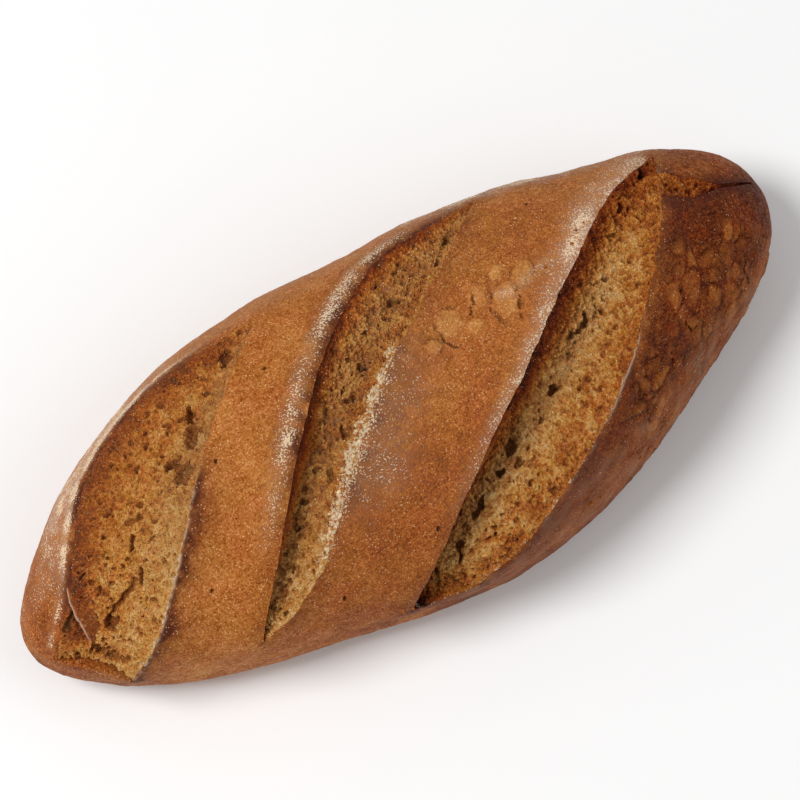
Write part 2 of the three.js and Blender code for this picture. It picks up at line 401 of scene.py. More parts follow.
def betweenHalves(pair, t):
    return pair[0] + (pair[1] - pair[0]) * smoothStep(0.4, 0.68, t)


def acrossShape(slash, w, t):
    # depth across a slash, 1 at the deepest
    leftRise = betweenHalves(slash["leftRise"], t)
    rightRise = betweenHalves(slash["rightRise"], t)
    peak = leftRise / (leftRise + rightRise)
    top = peak ** leftRise * (1 - peak) ** rightRise
    inside = np.clip(w, 0, 1)
    return inside ** leftRise * (1 - inside) ** rightRise / top


def slashFrame(slash, t):
    # both lips on the smooth crown, the normal there, and the way out under the crust from each
    left = lipLine(slash, "left", t)
    right = lipLine(slash, "right", t)
    middle = throughPoints(slash["left"], t) + throughPoints(slash["right"], t)
    ahead = np.gradient(middle, axis=0)
    side = unit(np.stack([-ahead[:, 1], ahead[:, 0]], -1))
    if np.sum(side * (right - left)) < 0:
        side = -side
    across = unit((right - left) + 0.6 * side)
    across = np.concatenate([across, np.zeros((len(t), 1))], 1)
    facts = {"leftPlan": left, "rightPlan": right}
    for name, plan, way in (("left", left, -1), ("right", right, 1)):
        point = topPoint(plan)
        normal = skinNormal(point)
        out = across - normal * np.sum(across * normal, axis=1, keepdims=True)
        facts[name] = point
        facts[name + "Normal"] = normal
        facts[name + "Out"] = unit(out) * way
    facts["width"] = np.linalg.norm(facts["right"] - facts["left"], axis=1)
    return facts


lipRange = (0.004, 0.996)
pointsAtOnce = 20000
for slash in slashes:
    t = np.linspace(*lipRange, 240)
    for side in ("left", "right"):
        slash[side + "Lip"] = topPoint(lipLine(slash, side, t))


def nearestOn(points, line, reach=32.0):
    # distance to a line and the share of the way along it, for points within reach of it
    away = np.full(len(points), 99.0)
    place = np.full(len(points), 0.5)
    low = line.min(0) - reach
    high = line.max(0) + reach
    chosen = np.flatnonzero(((points > low) & (points < high)).all(1))
    lengths = (line ** 2).sum(1)
    for start in range(0, len(chosen), pointsAtOnce):
        part = chosen[start:start + pointsAtOnce]
        block = points[part]
        best = (lengths[None] - 2 * block @ line.T).argmin(1)
        closest = np.full(len(block), 1e9)
        where = np.zeros(len(block))
        for begin in (best - 1, best):
            first = np.clip(begin, 0, len(line) - 2)
            a = line[first]
            chord = line[first + 1] - a
            s = np.clip(((block - a) * chord).sum(1) / np.maximum((chord ** 2).sum(1), 1e-9), 0, 1)
            gap = np.linalg.norm(block - a - chord * s[:, None], axis=1)
            closer = gap < closest
            where = np.where(closer, first + s, where)
            closest = np.where(closer, gap, closest)
        away[part] = closest
        place[part] = lipRange[0] + (lipRange[1] - lipRange[0]) * where / (len(line) - 1)
    return away, place


def lipFacts(points):
    # for each slash: distance to both lips and the share of the way along them
    facts = []
    for slash in slashes:
        fact = {}
        for side in ("left", "right"):
            fact[side], fact[side + "T"] = nearestOn(points, slash[side + "Lip"])
        facts.append(fact)
    return facts


def atLip(fact, side, reach, run=None, power=2, apart=0.0):
    # 1 at a lip, or at a distance from it, and only where the run along the lip allows it
    share = bell(fact[side] - apart, reach, power)
    return share if run is None else share * span(fact[side + "T"], *run)


def pastHeelLip(p):
    # how far a point lies beyond the right slash's right lip, along the loaf
    lip = slashes[2]["rightLip"][::-1]
    keep = np.maximum.accumulate(lip[:, 1]) == lip[:, 1]
    return p[..., 0] - np.interp(p[..., 1], lip[keep, 1], lip[keep, 0])


def crustSwell(p, facts):
    # how far the crust stands above the smooth form, before its fine relief
    form = loafForm
    crown = smoothStep(8, 30, p[..., 2])
    near = np.full(p.shape[:-1], 99.0)
    height = form["lumpHeight"] * broadLump(p) * crown
    for slash, fact in zip(slashes, facts):
        if slash["name"] != "endTear":
            near = np.minimum(near, np.minimum(fact["left"], fact["right"]))
        raised = along(slash["rightRaise"], fact["rightT"]) * bell(fact["right"], form["raiseReach"])
        rolled = along(slash["leftRoll"], fact["leftT"]) * bell(fact["left"], slash["rollReach"])
        height = height + raised - rolled
    height = height + form["lipHeight"] * bell(near, form["lipReach"]) * crown
    for grain, size, seed in form["unevenness"]:
        height = height + size * softNoise(p, grain, seed)
    return height


def meshFrom(name, vertices, faces):
    mesh = bpy.data.meshes.new(name)
    vertices = np.asarray(vertices, float) * millimetre
    if isinstance(faces, np.ndarray):
        sizes = np.full(len(faces), faces.shape[1])
        corners = faces.ravel()
    else:
        sizes = np.array([len(face) for face in faces])
        corners = np.concatenate([np.asarray(face, int) for face in faces])
    mesh.vertices.add(len(vertices))
    mesh.vertices.foreach_set("co", vertices.ravel())
    mesh.loops.add(len(corners))
    mesh.loops.foreach_set("vertex_index", corners.astype(np.int32))
    mesh.polygons.add(len(sizes))
    starts = np.concatenate([[0], np.cumsum(sizes)[:-1]]).astype(np.int32)
    mesh.polygons.foreach_set("loop_start", starts)
    mesh.update(calc_edges=True)
    mesh.validate()
    return mesh


def readTriangles(mesh):
    mesh.calc_loop_triangles()
    corners = np.empty(len(mesh.loop_triangles) * 3, np.int32)
    mesh.loop_triangles.foreach_get("vertices", corners)
    return corners.reshape(-1, 3)


def readPoints(mesh):
    points = np.empty(len(mesh.vertices) * 3, np.float32)
    mesh.vertices.foreach_get("co", points)
    return points.reshape(-1, 3).astype(float) / millimetre


def faceOutwards(mesh):
    a, b, c = readPoints(mesh)[readTriangles(mesh)].transpose(1, 0, 2)
    if np.einsum("ij,ij->i", a, np.cross(b, c)).sum() < 0:
        mesh.flip_normals()


def addObject(name, mesh):
    piece = bpy.data.objects.new(name, mesh)
    bpy.context.scene.collection.objects.link(piece)
    return piece


def gridFaces(rows, columns, wrap=False):
    i = np.arange(rows - 1)[:, None] * columns
    j = np.arange(columns if wrap else columns - 1)[None, :]
    k = (j + 1) % columns
    return np.stack([i + j, i + k, i + columns + k, i + columns + j], -1).reshape(-1, 4)


def tubeFaces(rows, columns):
    # rings joined into a tube and closed at both ends
    ends = [list(range(columns))[::-1], list(range((rows - 1) * columns, rows * columns))]
    return gridFaces(rows, columns, wrap=True).tolist() + ends


def writeAttribute(mesh, name, values):
    if name in mesh.attributes:
        mesh.attributes.remove(mesh.attributes[name])
    layer = mesh.attributes.new(name, "FLOAT", "POINT")
    layer.data.foreach_set("value", np.asarray(values, np.float32))


def readAttribute(mesh, name):
    values = np.empty(len(mesh.vertices), np.float32)
    mesh.attributes[name].data.foreach_get("value", values)
    return values


def gridNormals(grid):
    return unit(np.cross(np.gradient(grid, axis=0), np.gradient(grid, axis=1)))


crustLook = {
    # mesh cells by height: on the crown, on the sides, near the foot, underneath
    "cells": [(35, 0.48), (12, 0.75), (0.4, 1.1), (-99, 3.0)],
    "grains": [(3.4, 0.10, 5), (1.8, 0.07, 6), (1.05, 0.06, 10)],   # grain, height, seed
    "rimReach": 60,               # half width that spaces the rows of the mesh evenly
    "topHeight": 25,              # plates and pinholes lie above this
    "streak": [0.53, 0.85, 0.0],  # the way the blisters run
    "crackDepth": 0.9,
    "domeHeight": 0.7,
    "pinhole": (0.8, 0.55, 40),   # half length, half width, turn
    "pinholeDepth": 0.8,
    "footCrackDepth": 0.45,
    "thickness": 1.0,
    "smoothAngle": 42,            # edges sharper than this stay sharp
}

# raised plates of blistered crust: x, y, half length, half width, turn
patchPlates = [
    (19.7, 4.5, 5.4, 4.9, 0), (33, 7.8, 5.4, 3.3, 58), (40.5, 2.4, 6.6, 4.3, 60),
    (27.2, -0.6, 3.4, 2.8, 0), (50, 8, 5.6, 3.2, 30), (43, 12.5, 3.2, 2.3, 40), (12, 0.2, 3.0, 2.4, 20),
]
heelPlates = [
    (101, -18, 12, 9, 60), (113, -22, 9, 6, 60), (92, -27, 9, 6, 70), (70, -41, 14, 6.5, 40),
    (120, -6, 10, 5, 80),
]
# open cracks, each a line in plan
crustCracks = [
    [(33.2, 11.5), (30.5, 7.0), (26.6, 2.3)], [(39, 9.2), (36.2, 4.4), (32.8, -0.5)],
    [(46.2, 5), (43.9, 0.2), (41, -6.1)], [(15.6, 7), (15.8, 0.1), (19.4, -4.5)],
    [(107.8, -22.7), (105.6, -25)], [(117.9, -20.1), (119.5, -22.9), (118.7, -25.4)],
    [(106.5, -26.4), (107.1, -29), (105.8, -30.7)], [(91.5, -21.4), (94.8, -20.6)],
    [(91.5, -27.8), (90.3, -30.5), (91.2, -32.4), (94.5, -31)], [(71.5, -41.5), (69.5, -44.9)],
    [(65.3, -40.4), (63.5, -42.7)], [(65.3, -43.8), (68.7, -44.9)], [(80.1, -35.1), (79.4, -39.9)],
    [(64.8, -47.6), (63.1, -50)],
]
# lines of thick flour: points in plan, half width, amount
flourLines = [
    ([(78, 14.2), (74, 12.2), (70, 9.2), (66, 6.6)], 1.7, 0.8),
    ([(58.5, 7.4), (51.7, 5.9), (44.7, 3.8), (39.6, 4.8)], 1.3, 0.45),
    ([(-129.5, -1.5), (-134, -6), (-138.4, -9.4)], 1.2, 1.1),
]
pinholes = [(-16.5, -47.6), (-13.1, -50.5), (-52.3, -49.1), (-88, -27), (-66, 6), (66, 30), (-37, 24)]


def ellipseReach(p, spot, ragged):
    # 1 on the edge of a ragged ellipse in plan
    x, y, halfLong, halfWide, turn = spot
    c = math.cos(math.radians(turn))
    s = math.sin(math.radians(turn))
    a = p[..., 0] - x
    b = p[..., 1] - y
    return np.hypot((a * c + b * s) / halfLong, (b * c - a * s) / halfWide) + ragged


def crackLines(p, ragged):
    depth = np.zeros(len(p))
    for line in crustCracks:
        plan = throughPoints(line, np.linspace(0, 1, 30))
        away, place = nearestOn(p + ragged, topPoint(plan), 3.0)
        taper = 0.2 + 0.8 * np.sin(math.pi * np.clip(place, 0, 1)) ** 0.6
        depth = np.maximum(depth, taper * (1 - smoothStep(0.1, 0.55, away)))
    return depth


def cellCracks(p, grain, seed, width):
    warp = noiseShift(p, grain * 0.9, seed) * grain * 0.45
    nearest, second, tag = cellNoise(p + warp, grain, seed)
    gap = (second - nearest) * grain
    return 1 - smoothStep(0, width, gap), tag, gap


def crustRelief(p):
    # fine relief of the crust and where it is cracked or blistered
    look = crustLook
    x, y, z = p.T
    onTop = z > look["topHeight"]
    past = pastHeelLip(p)
    wander = softNoise(p, 14, 31)
    ragged = 0.2 * softNoise(p, 2.6, 32) + 0.1 * softNoise(p, 1.2, 33)
    height = 0
    for grain, size, seed in look["grains"]:
        height = height + size * softNoise(p, grain, seed)

    # plates and fine cracks of the blistered end
    heel = smoothStep(1.0, 6.0, past + 2 * wander) * smoothStep(-3, -11, y + 4 * wander)
    heel *= smoothStep(8, 20, z) * smoothStep(40, 58, x)
    streak = np.array(look["streak"])
    lengthwise = (p @ streak)[:, None] * streak
    coarse, coarseTag, coarseGap = cellCracks(p - 0.25 * lengthwise, 7.0, 41, 0.7)
    fine, fineTag, fineGap = cellCracks(p - 0.5 * lengthwise, 3.6, 45, 0.5)
    broken = smoothStep(0.0, 0.35, softNoise(p, 5.5, 49))
    zone = np.zeros(len(p))
    for spot in heelPlates:
        reach = ellipseReach(p, spot, 0.3 * softNoise(p, 8, 50) + 0.25 * softNoise(p, 3.0, 56))
        zone = np.maximum(zone, smoothStep(1.35, 0.55, reach))
    coarseCrack = 0.5 * coarse * (0.15 + 0.85 * broken) * (0.3 + 0.7 * zone)
    fineCrack = 0.5 * fine * smoothStep(0.5, 0.8, fineTag) * broken
    crack = heel * np.maximum(coarseCrack, fineCrack)
    coarseDome = smoothStep(0, 3.0, coarseGap) * smoothStep(0.35, 0.8, coarseTag)
    fineDome = 0.7 * smoothStep(0, 1.8, fineGap) * smoothStep(0.4, 0.8, fineTag)
    dome = 0.75 * heel * np.maximum(coarseDome, fineDome)
    plate = smoothStep(0.0, 2.4, coarseGap) * (0.3 + 0.9 * coarseTag)
    pale = heel * plate * (0.6 + 0.4 * smoothStep(0, 0.8, fineGap)) * (0.15 + 0.65 * zone)

    # single plates, cracks and pinholes on the crown
    for spot in patchPlates:
        reach = ellipseReach(p, spot, ragged)
        dome = np.maximum(dome, 0.8 * smoothStep(1.15, 0.5, reach) * onTop)
        pale = np.maximum(pale, 0.75 * smoothStep(1.2, 0.6, reach) * onTop)
        crack = np.maximum(crack, 0.45 * bell(reach - 1.12, 0.08) * broken * onTop)
    jog = np.stack([softNoise(p, 1.9, 34), softNoise(p, 1.9, 35), 0 * x], -1)
    lines = 0.95 * crackLines(p, jog * 0.9) * smoothStep(-0.45, 0.1, softNoise(p, 2.2, 36))
    crack = np.maximum(crack, lines)
    holes = np.zeros(len(p))
    for spot in pinholes:
        reach = ellipseReach(p, spot + look["pinhole"], ragged)
        holes = np.maximum(holes, smoothStep(1.1, 0.5, reach) * onTop)

    # thin cracks round the foot, where the loaf rose off its base
    foot = span(z, 4, 8, 14, 22) * smoothStep(0.1, 0.4, softNoise(p, 26, 57))
    seam = softNoise(p * np.array([0.35, 0.35, 1.0]), 5.0, 58)
    footCrack = foot * (1 - smoothStep(0.0, 0.12, np.abs(seam)))
    height += look["domeHeight"] * dome - look["crackDepth"] * crack
    height -= look["pinholeDepth"] * holes + look["footCrackDepth"] * footCrack
    # the crack mask, pinholes and foot cracks included, darkens the colour as painted shade in these
    # recesses
    crack = np.maximum(np.maximum(crack, holes), 0.6 * footCrack)
    return height, {"crack": crack, "pale": pale, "past": past}


# purple-brown scorch beside the lips, partly painted shade where the crust slopes down from a raised lip:
# slash, side, amount, reach, power, run along the lip
scorchAndShadeBands = [
    (0, "right", 1.25, 3.6, 2, (0.3, 0.5)),
    (0, "right", 0.55, 10.0, 2, (0.3, 0.5)),
    (0, "left", 1.2, 3.6, 2, (0.02, 0.2, 0.7, 0.9)),
    (1, "left", 1.25, 7.0, 2, (0.0, 0.15, 0.6, 0.95)),
    (1, "right", 0.55, 4.5, 1.5, None),
    (2, "right", 0.9, 5.0, 1.5, None),
    (2, "left", 0.25, 4.0, 1.5, None),
    (3, "left", 1.2, 3.0, 1.5, None),
    (3, "right", 0.7, 1.8, 1.5, None),
]


def crustMasks(p, facts, relief):
    # where the crust is baked dark, scorched, floured or pale; the scorch is partly painted shade beside
    # the lips, and the rim is a painted highlight
    x, y, z = p.T
    s = sectionAt(x)
    one, two, three = facts[:3]
    wander = softNoise(p, 16, 51)
    ripple = softNoise(p, 5, 52)
    patches = np.clip(0.75 + 0.9 * softNoise(p, 6.5, 53), 0, 1.4)
    heelBank = smoothStep(-2, 8, relief["past"] + 2 * wander) * smoothStep(-34, -20, x)
    between = smoothStep(-40, 30, x - 0.9 * y) * (1 - heelBank)
    underside = smoothStep(5, 0.5, z)

    bake = 0.42 + 0.05 * wander + 0.04 * ripple
    bake += 0.05 * between + 0.10 * smoothStep(-14, -40, y) * smoothStep(-110, -40, x) * (1 - heelBank)
    bake += heelBank * (0.39 - 0.18 * smoothStep(6, 16, y)) + 0.15 * smoothStep(-104, -130, x)
    bake += smoothStep(40, 26, z) * (0.14 * softNoise(p, 9, 59) + 0.08 * softNoise(p, 3.5, 60) - 0.07)
    bake -= 0.27 * relief["pale"] * (0.85 + 0.6 * ripple)
    bake += 0.03 * span(z, 4, 14, 18, 36) + 0.16 * underside

    # the far and the near rim, and the bank beside the middle slash
    farShare = np.clip((y - s["middle"]) / np.maximum(s["far"], 1), 0, 1)
    drift = x + 26 * softNoise(p, 22, 61) + 8 * softNoise(p, 6, 62)
    farRim = smoothStep(0.72, 0.92, farShare) * smoothStep(22, 46, z + 10 * wander)
    farRim *= smoothStep(124, 84, drift)
    farRight = smoothStep(25, 65, drift)
    farLeft = smoothStep(-50, -100, drift)
    nearShare = np.clip((s["middle"] - y) / np.maximum(s["near"], 1), 0, 1)
    nearRim = smoothStep(0.82, 0.96, nearShare) * heelBank * smoothStep(12, 28, z)
    bake -= 0.1 * nearRim
    besideTwo = atLip(two, "right", 11.0, (0.15, 0.35, 0.52, 0.7), apart=5)

    # real purple-brown scorch, partly painted shade beside the raised lips
    scorchAndShade = 0.8 * farRim * farRight + 0.45 * besideTwo
    for number, side, amount, reach, power, run in scorchAndShadeBands:
        scorchAndShade = scorchAndShade + amount * atLip(facts[number], side, reach, run, power)
    scorchAndShade = np.clip(scorchAndShade * (0.75 + 0.4 * wander + 0.3 * ripple), 0, 1)

    # thin veil of flour, and the thicker flour on ridges and edges
    ridge = atLip(two, "left", 2.9, (0.1, 0.3, 0.66, 0.9), apart=4.4)
    upperLip = bell(three["left"], 3.2 + 5.0 * smoothStep(0.55, 0.1, three["leftT"]))
    upperLip *= smoothStep(0.85, 0.5, three["leftT"]) * smoothStep(113, 108, x)
    rimOne = atLip(one, "left", 2.0, (0.08, 0.25, 0.62, 0.82), apart=4.0)
    leftEnd = smoothStep(-112, -134, x) * smoothStep(-24, 4, y)
    shoulder = span(one["left"], 1.5, 4, 12, 24) * smoothStep(-70, -95, x)
    shoulder *= smoothStep(-2, 14, y) * smoothStep(12, 26, z)
    haze = 0.5 * ridge + 0.9 * upperLip + 0.3 * besideTwo + 0.6 * rimOne + 0.4 * nearRim * patches
    haze += 0.7 * shoulder + 0.1 * between + farRim * (0.4 + 0.5 * farLeft + 0.6 * farRight)
    haze += 0.06 * leftEnd * patches + 0.4 * underside + 0.1 * smoothStep(30, 12, z)
    flour = 0.85 * ridge + 0.75 * upperLip + 0.06 * leftEnd
    flour += (0.2 * besideTwo + 1.3 * rimOne + 0.7 * shoulder) * patches
    flour += 0.5 * atLip(two, "right", 1.5, (0.25, 0.4, 0.65, 0.8))
    flour += farRim * (0.15 + 0.7 * farRight + 0.6 * farLeft) * patches
    for line, width, amount in flourLines:
        away = nearestOn(p, topPoint(throughPoints(line, np.linspace(0, 1, 30))), 6.0)[0]
        flour += amount * bell(away, width)
        haze += 0.4 * bell(away, width * 2)
    inner = 1 - 0.85 * np.maximum(bell(one["left"], 2.2), bell(two["left"], 1.8))
    haze = np.clip(haze * inner * (0.85 + 0.4 * wander + 0.3 * ripple), 0, 1)
    flour = np.clip(flour * inner * (0.7 + 0.5 * wander + 0.5 * ripple), 0, 1)

    # painted highlight: a thin pale line along the edge where a lip stands up
    broken = np.clip(0.5 + 1.6 * softNoise(p, 2.4, 54) + 0.8 * softNoise(p, 6.0, 55), 0.1, 1)
    rim = atLip(one, "right", 0.5, (0.35, 0.5)) * broken
    strong = span(three["rightT"], 0.34, 0.38, 0.42, 0.5)
    faint = 0.25 * broken * span(three["rightT"], 0.3, 0.4, 0.5, 0.75)
    rim += bell(three["right"], 0.55) * (strong + faint)
    return {"bake": bake, "scorchAndShade": scorchAndShade, "haze": haze, "flour": flour, "rim": np.clip(rim, 0, 1),
            "crack": relief["crack"], "pale": relief["pale"]}


def evenStations(cell):
    x = loafForm["halfLength"] * -np.cos(np.linspace(0, math.pi, 4001))
    rim = crustLook["rimReach"] * np.sqrt(np.clip(1 - (x / loafForm["halfLength"]) ** 2, 0, 1))
    run = np.concatenate([[0], np.cumsum(np.hypot(np.diff(x), np.diff(rim)))])
    return np.interp(np.linspace(0, run[-1], int(run[-1] / cell) + 1), run, x)[1:-1]


def ringAngles():
    angle = np.linspace(0, 2 * math.pi, 6001)
    ring = skinPoint(np.zeros_like(angle), angle)
    ring[:, 2] = np.maximum(ring[:, 2], 0)
    run = np.hypot(np.diff(ring[:, 1]), np.diff(ring[:, 2]))
    lows, sizes = zip(*crustLook["cells"])
    cell = np.select([ring[1:, 2] > low for low in lows], sizes)
    share = np.concatenate([[0], np.cumsum(run / cell)])
    return np.interp(np.linspace(0, share[-1], int(share[-1]), endpoint=False), share, angle)


def makeCrustBody():
    stations = evenStations(crustLook["cells"][0][1])
    xGrid, angleGrid = np.meshgrid(stations, ringAngles(), indexing="ij")
    grid = skinPoint(xGrid, angleGrid)
    rows, columns = xGrid.shape
    normals = gridNormals(np.concatenate([grid[:, -1:], grid, grid[:, :1]], 1))[:, 1:-1]
    section = sectionAt(xGrid)
    outward = grid - np.stack([xGrid * 0.9, section["middle"], section["belly"]], -1)
    if np.sum(normals * outward) < 0:
        normals = -normals
    flat = grid.reshape(-1, 3)
    facts = lipFacts(flat)
    print("lip distances ready")
    height, relief = crustRelief(flat)
    masks = crustMasks(flat, facts, relief)
    height = height + crustSwell(flat, facts)
    fade = smoothStep(0, 6, flat[:, 2])
    moved = flat + normals.reshape(-1, 3) * (height * (0.25 + 0.75 * fade))[:, None]
    dimple = np.clip(0.35 * softNoise(flat, 11, 8) + 0.15 * softNoise(flat, 4, 9), 0, 0.4)
    sole = dimple * smoothStep(0, -1.5, flat[:, 2])
    moved[:, 2] = np.where(flat[:, 2] < 0.3, sole, np.maximum(moved[:, 2], 0))
    tips = skinPoint(np.array([-1.0, 1.0]) * loafForm["halfLength"], np.zeros(2))
    vertices = np.concatenate([moved, tips])

    # both ends close in a fan round a tip
    around = np.arange(columns)
    following = (around + 1) % columns
    last = (rows - 1) * columns
    tip = np.full(columns, rows * columns)
    faces = gridFaces(rows, columns, wrap=True).tolist()
    faces += np.stack([tip, following, around], 1).tolist()
    faces += np.stack([tip + 1, last + around, last + following], 1).tolist()
    mesh = meshFrom("crust", vertices, faces)
    faceOutwards(mesh)
    for key in masks:
        masks[key] = np.concatenate([masks[key], masks[key][[0, -1]]])
    print("crust grid", rows, columns)
    return mesh, vertices, masks


def swellAtLip(slash, side, t):
    # the height of the crust over the smooth form along one lip
    points = topPoint(lipLine(slash, side, t))
    return crustSwell(points, lipFacts(points))


voidLook = {
    "row": 0.45,                        # length of a mesh cell
    "above": 9.0,                       # it reaches this far above the crust
    "below": 6.0,                       # and this far below the crumb
    "wall": [(0.7, 1.6), (2.4, 2.4)],   # under the crust: how far down, how far out
    "footOut": 1.2,
}


def makeVoid(slash):
    # the room a slash opens, undercut so that the crumb that lines it runs in under the crust
    look = voidLook
    line = throughPoints(slash["left"], np.linspace(0, 1, 40))
    length = np.linalg.norm(np.diff(line, axis=0), axis=1).sum()
    rows = max(int(length / look["row"]), 12)
    t = np.linspace(0.006, 0.994, rows)
    f = slashFrame(slash, t)
    deepest = along(slash["depth"], t)[:, None] + look["below"]
    walls = []
    for side in ("left", "right"):
        under = (swellAtLip(slash, side, t) - crustLook["thickness"])[:, None]
        steps = [(look["above"], 0), (under, 0)] + [(under - down, out) for down, out in look["wall"]]
        steps.append((under - deepest, look["footOut"]))
        walls.append([f[side] + f[side + "Normal"] * rise + f[side + "Out"] * out for rise, out in steps])
    section = np.stack(walls[0] + walls[1][::-1], 1)
    return makeCutter(slash["name"] + "Void", section.reshape(-1, 3), tubeFaces(rows, section.shape[1]))


def makeCutter(name, vertices, faces):
    mesh = meshFrom(name, vertices, faces)
    mesh.materials.append(edgeFinish)
    faceOutwards(mesh)
    return addObject(name, mesh)


def makeDivide(slash):
    # a prism holding all that lies to the right of a slash's middle line
    t = np.linspace(0.01, 0.99, 30)
    middle = (throughPoints(slash["left"], t) + throughPoints(slash["right"], t)) / 2
    beyondTop, beyondFoot = slash["divideEnds"]
    outline = [beyondTop] + middle.tolist() + [beyondFoot, (400, -300), (400, 300)]
    count = len(outline)
    vertices = [(x, y, z) for z in (-40, 160) for x, y in outline]
    faces = [list(range(count)), list(range(2 * count - 1, count - 1, -1))]
    for i in range(count):
        j = (i + 1) % count
        faces.append([j, i, i + count, j + count])
    return makeCutter("divide", vertices, faces)


def evaluatedMesh(thing):
    # the mesh that a thing's modifiers leave, which are then dropped
    depsgraph = bpy.context.evaluated_depsgraph_get()
    result = bpy.data.meshes.new_from_object(thing.evaluated_get(depsgraph), depsgraph=depsgraph)
    thing.modifiers.clear()
    return result


def combine(body, cutters, operation):
    # the mesh left after each cutter is taken from the body, or kept in common with it
    for cutter in cutters:
        step = body.modifiers.new("combine", "BOOLEAN")
        step.operation = operation
        step.solver = "MANIFOLD"
        step.object = cutter
    return evaluatedMesh(body)


def tone(red, green, blue):
    # a colour given as 0 to 255 on screen
    def straight(value):
        v = value / 255
        return v / 12.92 if v <= 0.04045 else ((v + 0.055) / 1.055) ** 2.4
    return (straight(red), straight(green), straight(blue), 1.0)


def newMaterial(name):
    material = bpy.data.materials.new(name)
    material.use_nodes = True
    tree = material.node_tree
    return material, tree, tree.nodes["Principled BSDF"]


def putNode(tree, kind, settings=None, inputs=None):
    node = tree.nodes.new(kind)
    for key, value in (settings or {}).items():
        setattr(node, key, value)
    for key, value in (inputs or {}).items():
        if isinstance(value, bpy.types.NodeSocket):
            tree.links.new(value, node.inputs[key])
        else:
            node.inputs[key].default_value = value
    return node


def placeOf(tree):
    # one coordinate node serves the whole material
    node = tree.nodes.get("place") or tree.nodes.new("ShaderNodeTexCoord")
    node.name = "place"
    return node.outputs["Object"]


def noiseOf(tree, grain, detail=2.0, rough=0.55):
    inputs = {"Vector": placeOf(tree), "Scale": 1 / (grain * millimetre)}
    inputs.update({"Detail": detail, "Roughness": rough})
    return putNode(tree, "ShaderNodeTexNoise", {}, inputs).outputs["Fac"]


def specks(tree, grain, low, high):
    # soft dots, one for each cell
    inputs = {"Vector": placeOf(tree), "Scale": 1 / (grain * millimetre)}
    return band(tree, putNode(tree, "ShaderNodeTexVoronoi", {}, inputs).outputs["Distance"], low, high)


def mathOf(tree, operation, first, second, third=None, clamp=False):
    inputs = {0: first, 1: second}
    if third is not None:
        inputs[2] = third
    settings = {"operation": operation, "use_clamp": clamp}
    return putNode(tree, "ShaderNodeMath", settings, inputs).outputs[0]


def times(tree, value, amount):
    return mathOf(tree, "MULTIPLY", value, amount)


def added(tree, value, parts):
    # each part is a value and how much of it is added
    for part, amount in parts:
        value = mathOf(tree, "MULTIPLY_ADD", part, amount, value)
    return value


def sway(tree, level, parts):
    # a level moved up and down by noises centred on a half
    return added(tree, level, [(mathOf(tree, "SUBTRACT", noise, 0.5), amount) for noise, amount in parts])


def band(tree, value, low, high, start=0.0, end=1.0):
    inputs = {"Value": value, "From Min": low, "From Max": high, "To Min": start, "To Max": end}
    settings = {"clamp": True, "interpolation_type": "SMOOTHSTEP"}
    return putNode(tree, "ShaderNodeMapRange", settings, inputs).outputs["Result"]


def blend(tree, share, first, second):
    settings = {"data_type": "RGBA", "blend_type": "MIX", "clamp_factor": True}
    return putNode(tree, "ShaderNodeMix", settings, {0: share, 6: first, 7: second}).outputs[2]


def coat(tree, colour, mask, amount, shade):
    # a tone laid over the colour where the mask is
    return blend(tree, times(tree, mask, amount), colour, tone(*shade))


def rampOf(tree, value, stops):
    node = putNode(tree, "ShaderNodeValToRGB", {}, {"Fac": value})
    ramp = node.color_ramp
    while len(ramp.elements) < len(stops):
        ramp.elements.new(0.5)
    for element, (place, shade) in zip(ramp.elements, stops):
        element.position = place
        element.color = tone(*shade)
    return node.outputs["Color"]


def turnHue(tree, colour, level, low, high, start, end):
    inputs = {"Hue": band(tree, level, low, high, start, end), "Color": colour}
    return putNode(tree, "ShaderNodeHueSaturation", {}, inputs).outputs["Color"]


def readMask(tree, name):
    node = putNode(tree, "ShaderNodeAttribute", {"attribute_type": "GEOMETRY", "attribute_name": name})
    return node.outputs["Fac"]


def dustingOf(tree, flour, grain, amount, low, high, thin):
    # grains of flour, closer together the thicker it lies
    closeness = band(tree, added(tree, grain, [(flour, amount)]), low, high)
    return times(tree, closeness, band(tree, flour, *thin))


def dress(tree, shader, colour, roughness, specular, relief=None, strength=1.0, distance=1.0):
    for name, value in (("Base Color", colour), ("Roughness", roughness)):
        if isinstance(value, bpy.types.NodeSocket):
            tree.links.new(value, shader.inputs[name])
        else:
            shader.inputs[name].default_value = value
    shader.inputs["Specular IOR Level"].default_value = specular
    if relief:
        inputs = {"Height": relief, "Strength": strength, "Distance": distance * millimetre}
        bump = putNode(tree, "ShaderNodeBump", {}, inputs)
        tree.links.new(bump.outputs["Normal"], shader.inputs["Normal"])


# tones as 0 to 255 on screen; a list runs from pale to burnt, each tone with its place on the ramp
crustTones = {
    "baked": [
        (0.0, (216, 162, 98)), (0.3, (186, 119, 57)), (0.5, (160, 89, 31)),
        (0.74, (116, 50, 8)), (1.0, (56, 15, 2)),
    ],
    "plates": (188, 126, 56),
    # scorch, partly painted shade beside the lips
    "scorchAndShade": (76, 31, 17),
    # painted shade in the cracks and pinholes
    "cracks": (58, 22, 7),
    "thinVeil": (166, 116, 78),
    "thickVeil": (194, 168, 150),
    "flour": (238, 212, 178),
    # painted glints: colour of the pale specks that stand for glints
    "paintedGlints": (236, 190, 138),
    # painted highlight along the lip edges
    "rim": (216, 188, 158),
}
crumbTones = {
    "toasted": [
        (0.0, (240, 200, 142)), (0.3, (218, 154, 78)), (0.5, (190, 112, 36)),
        (0.74, (132, 60, 10)), (1.0, (50, 16, 3)),
    ],
    "fresh": (178, 134, 86),
    # painted shade in the pits
    "pitShade": (96, 58, 24),
    "flour": (250, 228, 192),
    # painted glints: colour of the pale specks that stand for glints
    "paintedGlints": (240, 214, 168),
}
